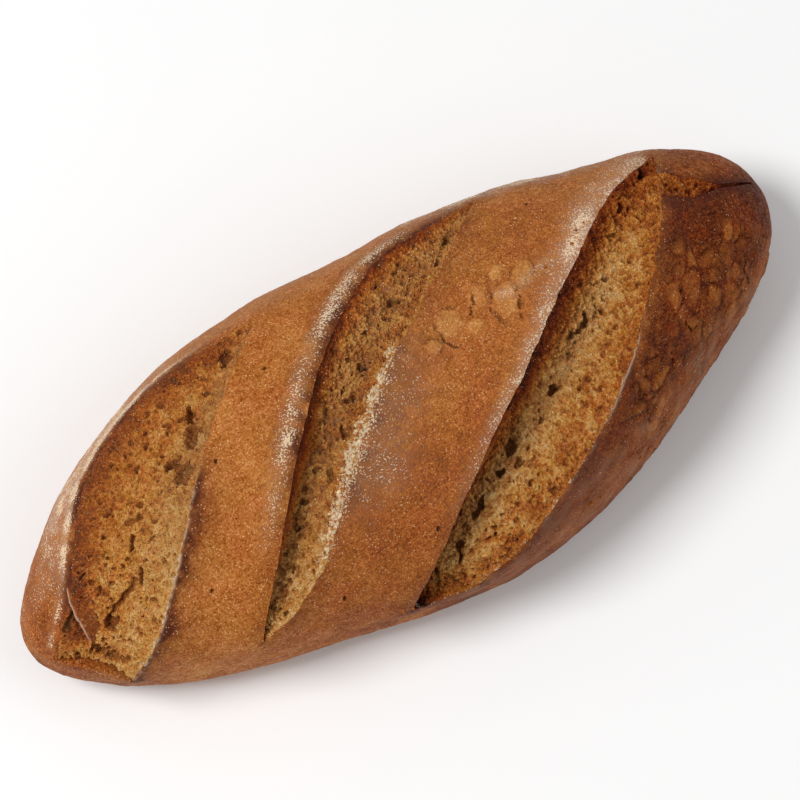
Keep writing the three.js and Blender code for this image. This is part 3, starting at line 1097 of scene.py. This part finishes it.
edgeTones = {
    "broken": [(0.3, (72, 32, 12)), (0.55, (120, 62, 26)), (0.75, (164, 104, 56))],
    # painted highlight along the lip edges
    "rim": (216, 186, 150),
}
# pale grains: flour, and on the crust top also painted glints
paleGrainTones = [(0.38, (218, 178, 126)), (0.6, (252, 232, 196))]


def crustMaterial():
    material, tree, shader = newMaterial("bakedCrust")
    tones = crustTones
    bake, haze, flour, crack = [readMask(tree, name) for name in ("bake", "haze", "flour", "crack")]
    grit = noiseOf(tree, 0.6, 2.0, 0.6)
    grain = noiseOf(tree, 1.4, 3.0, 0.6)
    mottle = noiseOf(tree, 5.0, 3.0, 0.6)
    blotch = noiseOf(tree, 24.0, 3.0, 0.5)
    level = sway(tree, bake, [(grit, 1.0), (grain, 0.55), (mottle, 0.35), (blotch, 0.15)])
    colour = rampOf(tree, level, tones["baked"])
    colour = turnHue(tree, colour, noiseOf(tree, 10.0), 0.35, 0.65, 0.495, 0.502)
    patchy = band(tree, grain, 0.3, 0.7, 0.1, 0.5)
    colour = coat(tree, colour, readMask(tree, "pale"), patchy, tones["plates"])
    patchy = band(tree, mottle, 0.28, 0.62, 0.5, 0.95)
    # purple-brown scorch, partly painted shade beside the lips
    colour = coat(tree, colour, readMask(tree, "scorchAndShade"), patchy, tones["scorchAndShade"])
    # painted shade down in the cracks and pinholes
    colour = coat(tree, colour, crack, 0.85, tones["cracks"])

    # a veil of flour, then the grains that lie on it
    cloud = added(tree, times(tree, grain, 0.45), [(grit, 0.55)])
    veil = times(tree, haze, band(tree, cloud, 0.4, 0.6, 0.2, 0.95))
    floured = blend(tree, haze, tone(*tones["thinVeil"]), tone(*tones["thickVeil"]))
    colour = blend(tree, veil, colour, floured)
    dusting = dustingOf(tree, flour, grit, 0.22, 0.63, 0.71, (0.02, 0.14))
    colour = coat(tree, colour, dusting, 0.75, tones["flour"])
    # painted glints: pale specks that stand for glints, more of them where the crust is lighter
    glintChance = times(tree, band(tree, noiseOf(tree, 4.0), 0.36, 0.6), band(tree, bake, 0.75, 0.5, 0.3, 1.0))
    paintedGlints = times(tree, specks(tree, 1.1, 0.26, 0.1), glintChance)
    colour = coat(tree, colour, paintedGlints, 0.8, tones["paintedGlints"])
    # painted highlight along the lip edges
    colour = coat(tree, colour, readMask(tree, "rim"), 0.6, tones["rim"])
    shine = mathOf(tree, "MULTIPLY_ADD", haze, 0.2, band(tree, grain, 0.3, 0.7, 0.46, 0.7), clamp=True)
    relief = added(tree, times(tree, mottle, 0.3), [(grain, 0.8), (grit, 0.5), (crack, -0.6)])
    dress(tree, shader, colour, shine, 0.09, relief, 0.9, 1.0)
    return material


def crumbMaterial():
    material, tree, shader = newMaterial("openCrumb")
    tones = crumbTones
    # toasting, with painted shade in the crumb's hollows
    toastAndShade = readMask(tree, "toastAndShade")
    grit = noiseOf(tree, 0.55, 2.0, 0.6)
    fine = noiseOf(tree, 1.1, 3.0, 0.65)
    grain = noiseOf(tree, 2.6, 3.0, 0.6)
    mottle = noiseOf(tree, 7.0, 3.0, 0.55)
    level = sway(tree, toastAndShade, [(grit, 0.4), (fine, 0.45), (grain, 0.35), (mottle, 0.42)])
    lean = sway(tree, toastAndShade, [(noiseOf(tree, 3.6), 1.2)])
    colour = turnHue(tree, rampOf(tree, level, tones["toasted"]), lean, 0.2, 0.7, 0.503, 0.492)
    patchy = band(tree, grain, 0.35, 0.65, 0.4, 0.9)
    colour = coat(tree, colour, readMask(tree, "deep"), patchy, tones["fresh"])
    # painted shade in the pits and torn holes
    colour = coat(tree, colour, readMask(tree, "pit"), 0.35, tones["pitShade"])
    dusting = dustingOf(tree, readMask(tree, "flour"), fine, 0.2, 0.59, 0.67, (0.03, 0.2))
    colour = coat(tree, colour, dusting, 0.95, tones["flour"])
    # painted glints: pale specks on the crumb
    colour = coat(tree, colour, specks(tree, 1.3, 0.17, 0.07), 0.6, tones["paintedGlints"])
    bubbles = specks(tree, 0.8, 0.15, 0.5)
    relief = added(tree, times(tree, grain, 0.5), [(fine, 0.8), (grit, 0.6), (bubbles, 0.4)])
    dress(tree, shader, colour, 0.74, 0.14, relief, 1.0, 1.2)
    return material


def edgeMaterial():
    # the broken edge of the crust along a lip
    material, tree, shader = newMaterial("crustEdge")
    fine = noiseOf(tree, 0.9, 3.0, 0.6)
    colour = rampOf(tree, fine, edgeTones["broken"])
    # painted highlight along the lip edges
    colour = coat(tree, colour, readMask(tree, "rim"), 0.6, edgeTones["rim"])
    dress(tree, shader, colour, 0.75, 0.5, fine, 0.5, 0.5)
    return material


def paleGrainMaterial():
    material, tree, shader = newMaterial("paleGrain")
    colour = rampOf(tree, noiseOf(tree, 1.5), paleGrainTones)
    dress(tree, shader, colour, 0.9, 0.05)
    return material


def finish(piece, smoothAngle=None):
    mesh = piece.data
    mesh.polygons.foreach_set("use_smooth", np.ones(len(mesh.polygons), bool))
    if smoothAngle:
        mesh.set_sharp_from_angle(angle=math.radians(smoothAngle))
    mesh.update()
    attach(piece, "root")
    print(piece.name, sum(len(face.vertices) - 2 for face in mesh.polygons), "triangles")
    return piece


def makePiece(mesh, material, masks, smoothAngle=None):
    # the mesh as a finished piece that carries its masks; the crust brings its own materials
    for key, values in masks.items():
        writeAttribute(mesh, key, np.broadcast_to(values, len(mesh.vertices)))
    if material:
        mesh.materials.append(material)
    return finish(addObject(mesh.name, mesh), smoothAngle)


crustFinish = crustMaterial()
crumbFinish = crumbMaterial()
edgeFinish = edgeMaterial()
paleGrainFinish = paleGrainMaterial()

bodyMesh, bodyPoints, bodyMasks = makeCrustBody()
bodyMesh.materials.append(crustFinish)
body = addObject("crustBody", bodyMesh)
voids = [makeVoid(slash) for slash in slashes]
body.data = combine(body, voids, "DIFFERENCE")
print("slashes carved", len(body.data.polygons))

bodyTree = kdtree.KDTree(len(bodyPoints))
for index, point in enumerate(bodyPoints):
    bodyTree.insert(point, index)
bodyTree.balance()
divides = [makeDivide(slash) for slash in slashes if "divideEnds" in slash]
crustPieces = []
for name, divide in zip(["crustLeftEnd", "crustLeft", "crustMiddle", "crustHeel"], divides + [None]):
    if divide:
        pieceMesh = combine(body, [divide], "DIFFERENCE")
        body.data = combine(body, [divide], "INTERSECT")
    else:
        pieceMesh = body.data
    pieceMesh.name = name
    nearestIndex = np.array([bodyTree.find(point)[1] for point in readPoints(pieceMesh)])
    masks = {key: values[nearestIndex] for key, values in bodyMasks.items()}
    piece = makePiece(pieceMesh, None, masks, crustLook["smoothAngle"])
    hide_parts("loaf")
    crustPieces.append(piece)
for spare in [body] + voids + divides:
    bpy.data.objects.remove(spare)
print("crust ready")

crumbLook = {
    "cell": 0.285,
    "margin": 1.7,         # how far the crumb runs in under the crust
    "hem": 4,              # columns of the mesh in that margin
    "lumps": [(5.0, 0.55), (2.6, 0.6), (1.5, 0.58), (0.85, 0.34)],   # grain, height
    "rough": {"leftSlash": 0.8, "middleSlash": 1.3, "rightSlash": 1.25, "endTear": 1.0},
    # bubbles: grain, share of them that are open, stretch, depth
    "bubbles": [(3.2, 0.2, 0.42, 1.9), (2.0, 0.26, 0.42, 1.4), (1.2, 0.26, 0.42, 0.9)],
    "granules": [(1.3, 0.5), (0.7, 0.28)],   # grain, height
    "deepestPit": 4.6,
    "keel": 5.2,           # the closed underside lies this far below the deepest crumb
}


def crumbMasks(slash, w, t, fromLeft, fromRight, wander, grit, relief):
    # toasting, moist fresh crumb and flour, by place in the slash; the toasting also carries painted
    # shade in the crumb's hollows
    name = slash["name"]
    valley = smoothStep(0.3, -1.2, relief)
    deep = 0 * w
    flour = 0 * w
    if name == "leftSlash":
        toastAndShade = 0.43 + 0.34 * bell(fromLeft, 5.5, 1.4) * span(t, 0.0, 0.15, 0.5, 0.9)
        toastAndShade = toastAndShade + 0.28 * bell(fromLeft - 14 * t + 8, 4.0) * span(t, 0.62, 0.75, 0.9, 1.0)
        toastAndShade = toastAndShade - 0.14 * w * smoothStep(0.3, 0.6, t) + 0.05 * smoothStep(0.1, 0.0, t)
        deep = 0.45 * smoothStep(0.45, 0.85, w) * smoothStep(0.8, 0.45, t) + 0.25 * valley
        deep = deep + 0.15 * bell(fromLeft, 7.0)
        flour = 0.25 * bell(fromRight, 1.0) * smoothStep(0.3, 0.6, t)
    elif name == "middleSlash":
        darkest = 0.42 - 0.24 * smoothStep(0.25, 0.05, t)
        toastAndShade = 0.46 + darkest * bell(fromLeft, 3.2, 1.4) - 0.14 * smoothStep(0.6, 0.95, t)
        toastAndShade = toastAndShade - 0.12 * smoothStep(0.5, 0.9, w) * smoothStep(0.5, 0.8, t)
        deep = 0.4 * span(w, 0.1, 0.3, 0.5, 0.85) + 0.35 * valley
        clumps = np.clip(0.75 + grit, 0.1, 1.1)
        strip = 1.25 * smoothStep(9.0, 3.5, fromRight + 2.5 * wander) * clumps
        flour = strip * span(t, 0.26, 0.38, 0.62, 0.76) * (0.55 + 0.5 * smoothStep(-0.3, 0.4, relief))
    elif name == "rightSlash":
        lower = smoothStep(0.5, 0.7, t)
        darkest = 0.56 - 0.3 * smoothStep(0.4, 0.12, t) + 0.2 * lower
        toastAndShade = 0.325 + darkest * bell(fromLeft, 6.5 + 2.0 * lower) + 0.08 * smoothStep(0.6, 0.9, w)
        toastAndShade = toastAndShade + 0.12 * smoothStep(0.32, 0.1, t)
        toastAndShade = toastAndShade + 0.13 * bell(fromRight, 3.0) * smoothStep(0.18, 0.28, t)
        deep = 0.6 * bell(w - 0.45, 0.17) * smoothStep(0.2, 0.35, t) + 0.2 * valley
        deep = deep * smoothStep(3, 8, fromLeft)
        flour = 0.2 * bell(fromRight, 1.0) * smoothStep(0.3, 0.5, t)
    else:
        toastAndShade = 0.58 + 0.3 * bell(fromLeft, 1.6) + 0.1 * smoothStep(0.3, 0.6, t)
    # painted shade: darker in the hollows of the relief, paler on its bumps
    toastAndShade = toastAndShade + 0.06 * wander - 0.17 * np.clip(relief, -0.9, 0.8)
    return toastAndShade, np.clip(deep, 0, 1), np.clip(flour, 0, 1)


def crumbSheet(slash, f, t, w):
    # the smooth floor of a slash, with a hem on both sides that runs in under the crust
    width = f["width"][:, None]
    wide = np.broadcast_to(t[:, None], w.shape)
    plan = f["leftPlan"][:, None] + (f["rightPlan"] - f["leftPlan"])[:, None] * w[..., None]
    base = topPoint(plan)
    sink = np.maximum(along(slash["sink"], t), 0)
    edge = {}
    for side in ("left", "right"):
        edge[side] = (swellAtLip(slash, side, t) - along(slash[side + "Skin"], t) - sink)[:, None]
    nearLeft = bell(w * width, 3.0)
    nearRight = bell((1 - w) * width, 4.0)
    clear = np.clip(1 - nearLeft - nearRight, 0, 1)
    lift = (edge["left"] * nearLeft + edge["right"] * nearRight) / np.maximum(nearLeft + nearRight, 1)
    lift = lift + loafForm["lumpHeight"] * broadLump(base) * clear
    depth = along(slash["depth"], wide) * acrossShape(slash, w, wide) + sink[:, None] * clear
    floor = base + skinNormal(base) * (lift - depth)[..., None]
    margin = np.linspace(1, 0.25, crumbLook["hem"]) * crumbLook["margin"]
    hems = []
    for side, reach in (("left", margin), ("right", margin[::-1])):
        hems.append(f[side][:, None] + f[side + "Out"][:, None] * reach[None, :, None]
                    + f[side + "Normal"][:, None] * (edge[side] - reach[None] * 1.1)[..., None])
    return np.concatenate([hems[0], floor, hems[1]], 1), depth.max(1)[:, None]


def crumbRelief(slash, number, flat, w, inside):
    # lumps, bubbles and torn holes, and where painted shade darkens the pits and holes
    look = crumbLook
    warped = flat + 0.75 * noiseShift(flat, 2.0, 98)
    torn = flat + (1.3 * noiseShift(flat, 4.5, 111) + 0.6 * noiseShift(flat, 1.7, 98))
    calm = 0.45 + 0.55 * smoothStep(0.02, 0.2, w)
    lumps = sum(size * softNoise(flat, grain, 90 + k) for k, (grain, size) in enumerate(look["lumps"]))
    granules = np.zeros(len(flat))
    for k, (grain, size) in enumerate(look["granules"]):
        granules += size * smoothStep(0.8, 0.1, cellNoise(flat, grain, 105 + k)[0])
    pit = np.zeros(len(flat))
    pitShadeMask = np.zeros(len(flat))
    for k, (grain, share, reach, size) in enumerate(look["bubbles"]):
        bubble = pores(warped, grain, 61 + 10 * k + number, share, reach, 0.45)
        pit = np.maximum(pit, size * bubble)
        pitShadeMask = np.maximum(pitShadeMask, bubble ** 2 * (1 - 0.25 * k))
    ragged = 0.26 * softNoise(flat, 2.4, 95) + 0.16 * softNoise(flat, 1.1, 96)
    hollow = np.zeros(len(flat))
    for x, y, halfLong, halfWide, deepness, turn in slash["holes"]:
        hole = smoothStep(1.05, 0.7, ellipseReach(torn, (x, y, halfLong, halfWide, turn), ragged))
        hollow = np.maximum(hollow, hole * deepness)
        pitShadeMask = np.maximum(pitShadeMask, hole)
    fine = (lumps + granules - 0.3).reshape(w.shape) * (0.3 + 0.7 * inside) * calm
    fine = fine * look["rough"][slash["name"]]
    relief = fine - np.maximum(pit * 0.9, hollow).reshape(w.shape) * inside * (0.5 + 0.5 * calm)
    return np.maximum(relief, -look["deepestPit"]), pitShadeMask.reshape(w.shape)


def makeCrumb(slash, number):
    look = crumbLook
    lips = [slash[side + "Lip"] for side in ("left", "right")]
    length = max(np.linalg.norm(np.diff(lip, axis=0), axis=1).sum() for lip in lips)
    rows = max(int(length / look["cell"]), 20)
    t = np.linspace(*lipRange, rows)
    f = slashFrame(slash, t)
    width = f["width"][:, None]
    inner = int(width.max() / look["cell"]) + 1
    w = np.broadcast_to(np.linspace(0, 1, inner), (rows, inner))
    macro, deepest = crumbSheet(slash, f, t, w)
    columns = macro.shape[1]
    hem = look["hem"]
    wAll = np.pad(w, ((0, 0), (hem, hem)), mode="edge")
    tAll = np.broadcast_to(t[:, None], wAll.shape)
    fromLeft = wAll * width
    fromRight = (1 - wAll) * width
    inside = smoothStep(0.0, 1.4, np.minimum(fromLeft, fromRight))
    up = gridNormals(macro)
    if np.sum(up[..., 2]) < 0:
        up = -up
    flat = macro.reshape(-1, 3)
    relief, pitShadeMask = crumbRelief(slash, number, flat, wAll, inside)
    top = macro + up * relief[..., None]
    wander = softNoise(flat, 9, 97).reshape(wAll.shape)
    grit = softNoise(flat, 1.8, 143).reshape(wAll.shape)
    toastAndShade, deep, flour = crumbMasks(slash, wAll, tAll, fromLeft, fromRight, wander, grit, relief)
    flour[:, :hem] = 0
    flour[:, -hem:] = 0
    # pit is the painted shade in the pits and holes
    masks = {"toastAndShade": toastAndShade, "deep": deep, "flour": flour, "pit": pitShadeMask * inside, "open": inside}

    # a keel under the sheet closes it
    down = (f["leftNormal"] + f["rightNormal"]) / 2 * (deepest + look["keel"])
    keel = (f["left"] + f["right"]) / 2 - down
    count = rows * columns
    faces = gridFaces(rows, columns).tolist()
    for i in range(rows - 1):
        faces.append((i * columns, (i + 1) * columns, count + i + 1, count + i))
        faces.append((count + i, count + i + 1, (i + 2) * columns - 1, (i + 1) * columns - 1))
    faces.append(tuple(range(columns - 1, -1, -1)) + (count,))
    faces.append(tuple((rows - 1) * columns + j for j in range(columns)) + (count + rows - 1,))
    mesh = meshFrom(slash["name"] + "Crumb", np.concatenate([top.reshape(-1, 3), keel]), faces)
    faceOutwards(mesh)
    masks = {key: np.concatenate([values.reshape(-1), np.zeros(rows)]) for key, values in masks.items()}
    return makePiece(mesh, crumbFinish, masks)


crumbs = [makeCrumb(slash, number) for number, slash in enumerate(slashes)]
print("crumb ready")

# a thin flap of crust left hanging in the tear at the left end
flapLook = {
    "line": [(-123.6, 3.0), (-125.4, -4.0), (-125.6, -9.5), (-125.8, -13.5), (-127.4, -17.5)],
    "lift": [0.5, 1.1, 1.1, 0.7, -0.5],
    "halfWidth": [1.0, 1.9, 2.5, 2.5, 1.0],
    "thickness": 0.9,
    "hang": 2.6,   # how far its held edge sits below the crown
    "masks": {"bake": 0.66, "scorchAndShade": 0.1, "haze": 0.05, "flour": 0.08, "crack": 0.0, "pale": 0.0},
}


def makeFlap():
    look = flapLook
    t = np.linspace(0, 1, 70)
    u = np.linspace(-1, 1, 13)
    centre = topPoint(throughPoints(look["line"], t))
    normal = skinNormal(centre)[:, None]
    side = unit(np.cross(unit(np.gradient(centre, axis=0)), normal[:, 0]))[:, None]
    half = along(look["halfWidth"], t)[:, None] * u[None]
    spread = centre[:, None] + side * half[..., None]
    ragged = 0.3 * softNoise(spread, 2.2, 121) + 0.15 * softNoise(spread, 1.0, 122)
    spread = spread + side * (ragged * np.abs(u) ** 3)[..., None]
    lift = along(look["lift"], t)[:, None]
    bulge = (lift + look["hang"]) * smoothStep(-1.1, 0.8, u[None]) - look["hang"]
    bulge = bulge + 0.3 * softNoise(spread, 1.6, 123)
    thickness = look["thickness"] * np.sqrt(np.clip(1.02 - u ** 2, 0, 1))
    upper = spread + normal * bulge[..., None]
    lower = spread + normal * (bulge - thickness)[..., None]
    ring = np.concatenate([upper, lower[:, ::-1]], 1)
    rows, columns = ring.shape[:2]
    mesh = meshFrom("endFlap", ring.reshape(-1, 3), tubeFaces(rows, columns))
    faceOutwards(mesh)
    # painted highlight along the flap's edge
    rim = bell(np.concatenate([u, u[::-1]]) - 0.88, 0.14)
    makePiece(mesh, crustFinish, {**look["masks"], "rim": np.tile(rim, rows)})


# crumbs that cling to the lips and lie on the crust: x, y and radius
looseCrumbs = [
    (57, -55.4, 0.8), (61.6, -54.1, 0.6), (34.3, -61.2, 0.8), (38.8, -60.6, 0.6), (103, -35.3, 0.6),
    (-36.2, -57.6, 1.0), (-33.0, -58.4, 0.7), (73.1, 12, 0.5), (69.2, 8.5, 0.45), (76.8, 13, 0.4),
    (57.3, 5.6, 0.5), (50.5, 6.4, 0.5), (44.7, 3.8, 0.4),
]


def makeLooseCrumbs():
    shape = bmesh.new()
    rng = np.random.default_rng(17)
    for x, y, radius in looseCrumbs:
        spot = topPoint(np.array([x, y], float))
        spot = spot + skinNormal(spot) * (crustSwell(spot[None], lipFacts(spot[None]))[0] + 0.1)
        made = bmesh.ops.create_icosphere(shape, subdivisions=3, radius=1.0)["verts"]
        stretch = radius * rng.uniform(0.7, 1.3, 3)
        ball = np.array([vertex.co for vertex in made])
        swell = 1 + 0.3 * softNoise(ball + x, 0.9, 131) + 0.15 * softNoise(ball + x, 0.4, 132)
        for vertex, place in zip(made, ball * swell[:, None] * stretch + spot):
            vertex.co = Vector(place * millimetre)
    mesh = bpy.data.meshes.new("looseCrumbs")
    shape.to_mesh(mesh)
    shape.free()
    makePiece(mesh, crumbFinish, {"toastAndShade": 0.5, "deep": 0.0, "flour": 0.1, "pit": 0.0})


makeFlap()
makeLooseCrumbs()


def scatterTree():
    # pale grains, flour and on the crust also painted glints, strewn over a surface, as many as its
    # "dust" attribute asks for
    tree = bpy.data.node_groups.new("strewGrains", "GeometryNodeTree")
    tree.interface.new_socket(name="Surface", in_out="INPUT", socket_type="NodeSocketGeometry")
    tree.interface.new_socket(name="Grains", in_out="OUTPUT", socket_type="NodeSocketGeometry")
    sockets = [
        ("Density", "NodeSocketFloat", 1e6), ("Smallest", "NodeSocketFloat", 0.0001),
        ("Largest", "NodeSocketFloat", 0.0002), ("Seed", "NodeSocketInt", 1),
    ]
    for name, kind, value in sockets:
        tree.interface.new_socket(name=name, in_out="INPUT", socket_type=kind).default_value = value
    start = putNode(tree, "NodeGroupInput")
    named = start.outputs
    dust = putNode(tree, "GeometryNodeInputNamedAttribute", {"data_type": "FLOAT"}, {"Name": "dust"})
    share = putNode(tree, "ShaderNodeMath", {"operation": "MULTIPLY"},
                    {0: dust.outputs["Attribute"], 1: named["Density"]})
    spread = putNode(tree, "GeometryNodeDistributePointsOnFaces", {"distribute_method": "RANDOM"},
                     {"Mesh": named["Surface"], "Density": share.outputs[0], "Seed": named["Seed"]})
    ball = putNode(tree, "GeometryNodeMeshIcoSphere", {}, {"Radius": 1.0, "Subdivisions": 1})
    size = putNode(tree, "FunctionNodeRandomValue", {"data_type": "FLOAT"},
                   {"Min": named["Smallest"], "Max": named["Largest"], "Seed": named["Seed"]})
    turn = putNode(tree, "FunctionNodeRandomValue", {"data_type": "FLOAT_VECTOR"},
                   {"Max": (6.28, 6.28, 6.28), "Seed": named["Seed"]})
    strewn = putNode(tree, "GeometryNodeInstanceOnPoints", {},
                     {"Points": spread.outputs["Points"], "Instance": ball.outputs["Mesh"],
                      "Rotation": turn.outputs["Value"], "Scale": size.outputs[1]})
    flat = putNode(tree, "GeometryNodeScaleInstances", {},
                   {"Instances": strewn.outputs["Instances"], "Scale": (1.0, 0.8, 0.6)})
    real = putNode(tree, "GeometryNodeRealizeInstances", {}, {"Geometry": flat.outputs["Instances"]})
    done = putNode(tree, "GeometryNodeSetMaterial", {}, {"Geometry": real.outputs["Geometry"],
                                                         "Material": paleGrainFinish})
    putNode(tree, "NodeGroupOutput", {}, {"Grains": done.outputs["Geometry"]})
    return tree


def strewGrains(name, pieces, dustOf, settings):
    # the grains lie on those faces of the pieces that carry any dust
    points = []
    corners = []
    dusts = []
    start = 0
    for piece in pieces:
        place = readPoints(piece.data)
        dust = dustOf(piece.data, place)
        triangles = readTriangles(piece.data)
        keep = triangles[dust[triangles].min(1) > 0]
        used, numbers = np.unique(keep, return_inverse=True)
        points.append(place[used])
        dusts.append(dust[used])
        corners.append(numbers.reshape(-1, 3) + start)
        start += len(used)
    ground = addObject(name, meshFrom(name, np.concatenate(points), np.concatenate(corners)))
    writeAttribute(ground.data, "dust", np.concatenate(dusts))
    step = ground.modifiers.new("strew", "NODES")
    step.node_group = strewTree
    for item in strewTree.interface.items_tree:
        if item.in_out == "INPUT" and item.name in settings:
            step[item.identifier] = settings[item.name]
    ground.data = evaluatedMesh(ground)
    finish(ground)


def crustFlourAndGlints(mesh, place):
    # flour grains where the flour mask is, and a thin sprinkling over the whole top as painted glints
    facing = smoothStep(20, 45, place[:, 2])
    patchy = np.clip(0.5 + 0.9 * softNoise(place, 7, 141), 0, 1.5)
    return (0.03 + 2.6 * readAttribute(mesh, "flour") ** 2 * patchy) * facing


def crumbDust(mesh, place):
    patchy = np.clip(0.5 + 0.9 * softNoise(place, 4, 142), 0, 1.5)
    loose = 0.1 if mesh.name.startswith("middle") else 0.02
    thick = 7.0 * readAttribute(mesh, "flour") ** 2
    clear = smoothStep(0.6, 1.0, readAttribute(mesh, "open"))
    return np.maximum((thick + loose) * patchy * clear - 0.01, 0)


# grains for each square metre where the dust is 1, and their radii in metres
crustGrains = {"Density": 1e6, "Smallest": 0.00007, "Largest": 0.0002, "Seed": 5}
slashGrains = {"Density": 1e6, "Smallest": 0.00012, "Largest": 0.0003, "Seed": 9}

strewTree = scatterTree()
strewGrains("crustFlourAndGlintGrains", crustPieces, crustFlourAndGlints, crustGrains)
strewGrains("slashFlour", crumbs, crumbDust, slashGrains)
print("flour ready")

stageLook = {
    "azimuth": -31.87,
    "elevation": 72.0,
    "distance": 1.2,
    "lens": 164.7,
    "sensor": 36,
    "aim": (-0.98, 1.48, 38.0),   # shift to the right, shift up, height, in millimetres
    "floorColour": (0.9, 0.9, 0.9, 1),
    "floorHalf": 3000,            # half the floor's side and its height, in millimetres
    "floorHeight": -0.2,
    "sky": 0.4,
    # name, size, power, azimuth, elevation, distance, in metres, watts and degrees
    "lamps": [("keyLamp", 0.95, 36, -110, 57, 2.2), ("fillLamp", 1.6, 8, 50, 40, 2.0)],
    "lampAim": (0, 0, 0.04),
}


def backOf(azimuth, elevation):
    # from the loaf towards a camera or a lamp
    a = math.radians(azimuth)
    e = math.radians(elevation)
    return Vector((math.sin(a) * math.cos(e), -math.cos(a) * math.cos(e), math.sin(e)))


def putInScene(name, data, place, back):
    # a camera or a lamp that looks back along its own direction
    holder = bpy.data.objects.new(name, data)
    holder.location = place
    holder.rotation_mode = "QUATERNION"
    holder.rotation_quaternion = back.to_track_quat("Z", "Y")
    bpy.context.scene.collection.objects.link(holder)
    return holder


def makeStage():
    half = stageLook["floorHalf"]
    height = stageLook["floorHeight"]
    corners = [(x * half, y * half, height) for x, y in ((-1, -1), (1, -1), (1, 1), (-1, 1))]
    floor = addObject("floor", meshFrom("floor", corners, np.array([[0, 1, 2, 3]])))
    material, tree, shader = newMaterial("paleFloor")
    dress(tree, shader, stageLook["floorColour"], 0.9, 0.0)
    floor.data.materials.append(material)
    world = bpy.data.worlds.new("studio")
    world.use_nodes = True
    background = world.node_tree.nodes["Background"]
    background.inputs["Color"].default_value = (1.0, 1.0, 1.0, 1)
    background.inputs["Strength"].default_value = stageLook["sky"]
    bpy.context.scene.world = world


def addLamp(name, size, power, azimuth, elevation, distance):
    lamp = bpy.data.lights.new(name, "AREA")
    lamp.shape = "DISK"
    lamp.size = size
    lamp.energy = power
    back = backOf(azimuth, elevation)
    putInScene(name, lamp, back * distance + Vector(stageLook["lampAim"]), back)


def addCamera():
    look = stageLook
    back = backOf(look["azimuth"], look["elevation"])
    turn = math.radians(look["azimuth"])
    right = Vector((math.cos(turn), math.sin(turn), 0))
    shiftRight, shiftUp, height = look["aim"]
    aim = (right * shiftRight + back.cross(right) * shiftUp + Vector((0, 0, height))) * millimetre
    camera = bpy.data.cameras.new("camera")
    camera.lens = look["lens"]
    camera.sensor_width = look["sensor"]
    bpy.context.scene.camera = putInScene("camera", camera, aim + back * look["distance"], back)


makeStage()
for lamp in stageLook["lamps"]:
    addLamp(*lamp)
addCamera()
bpy.context.scene.view_settings.view_transform = "Standard"
print("stage ready")
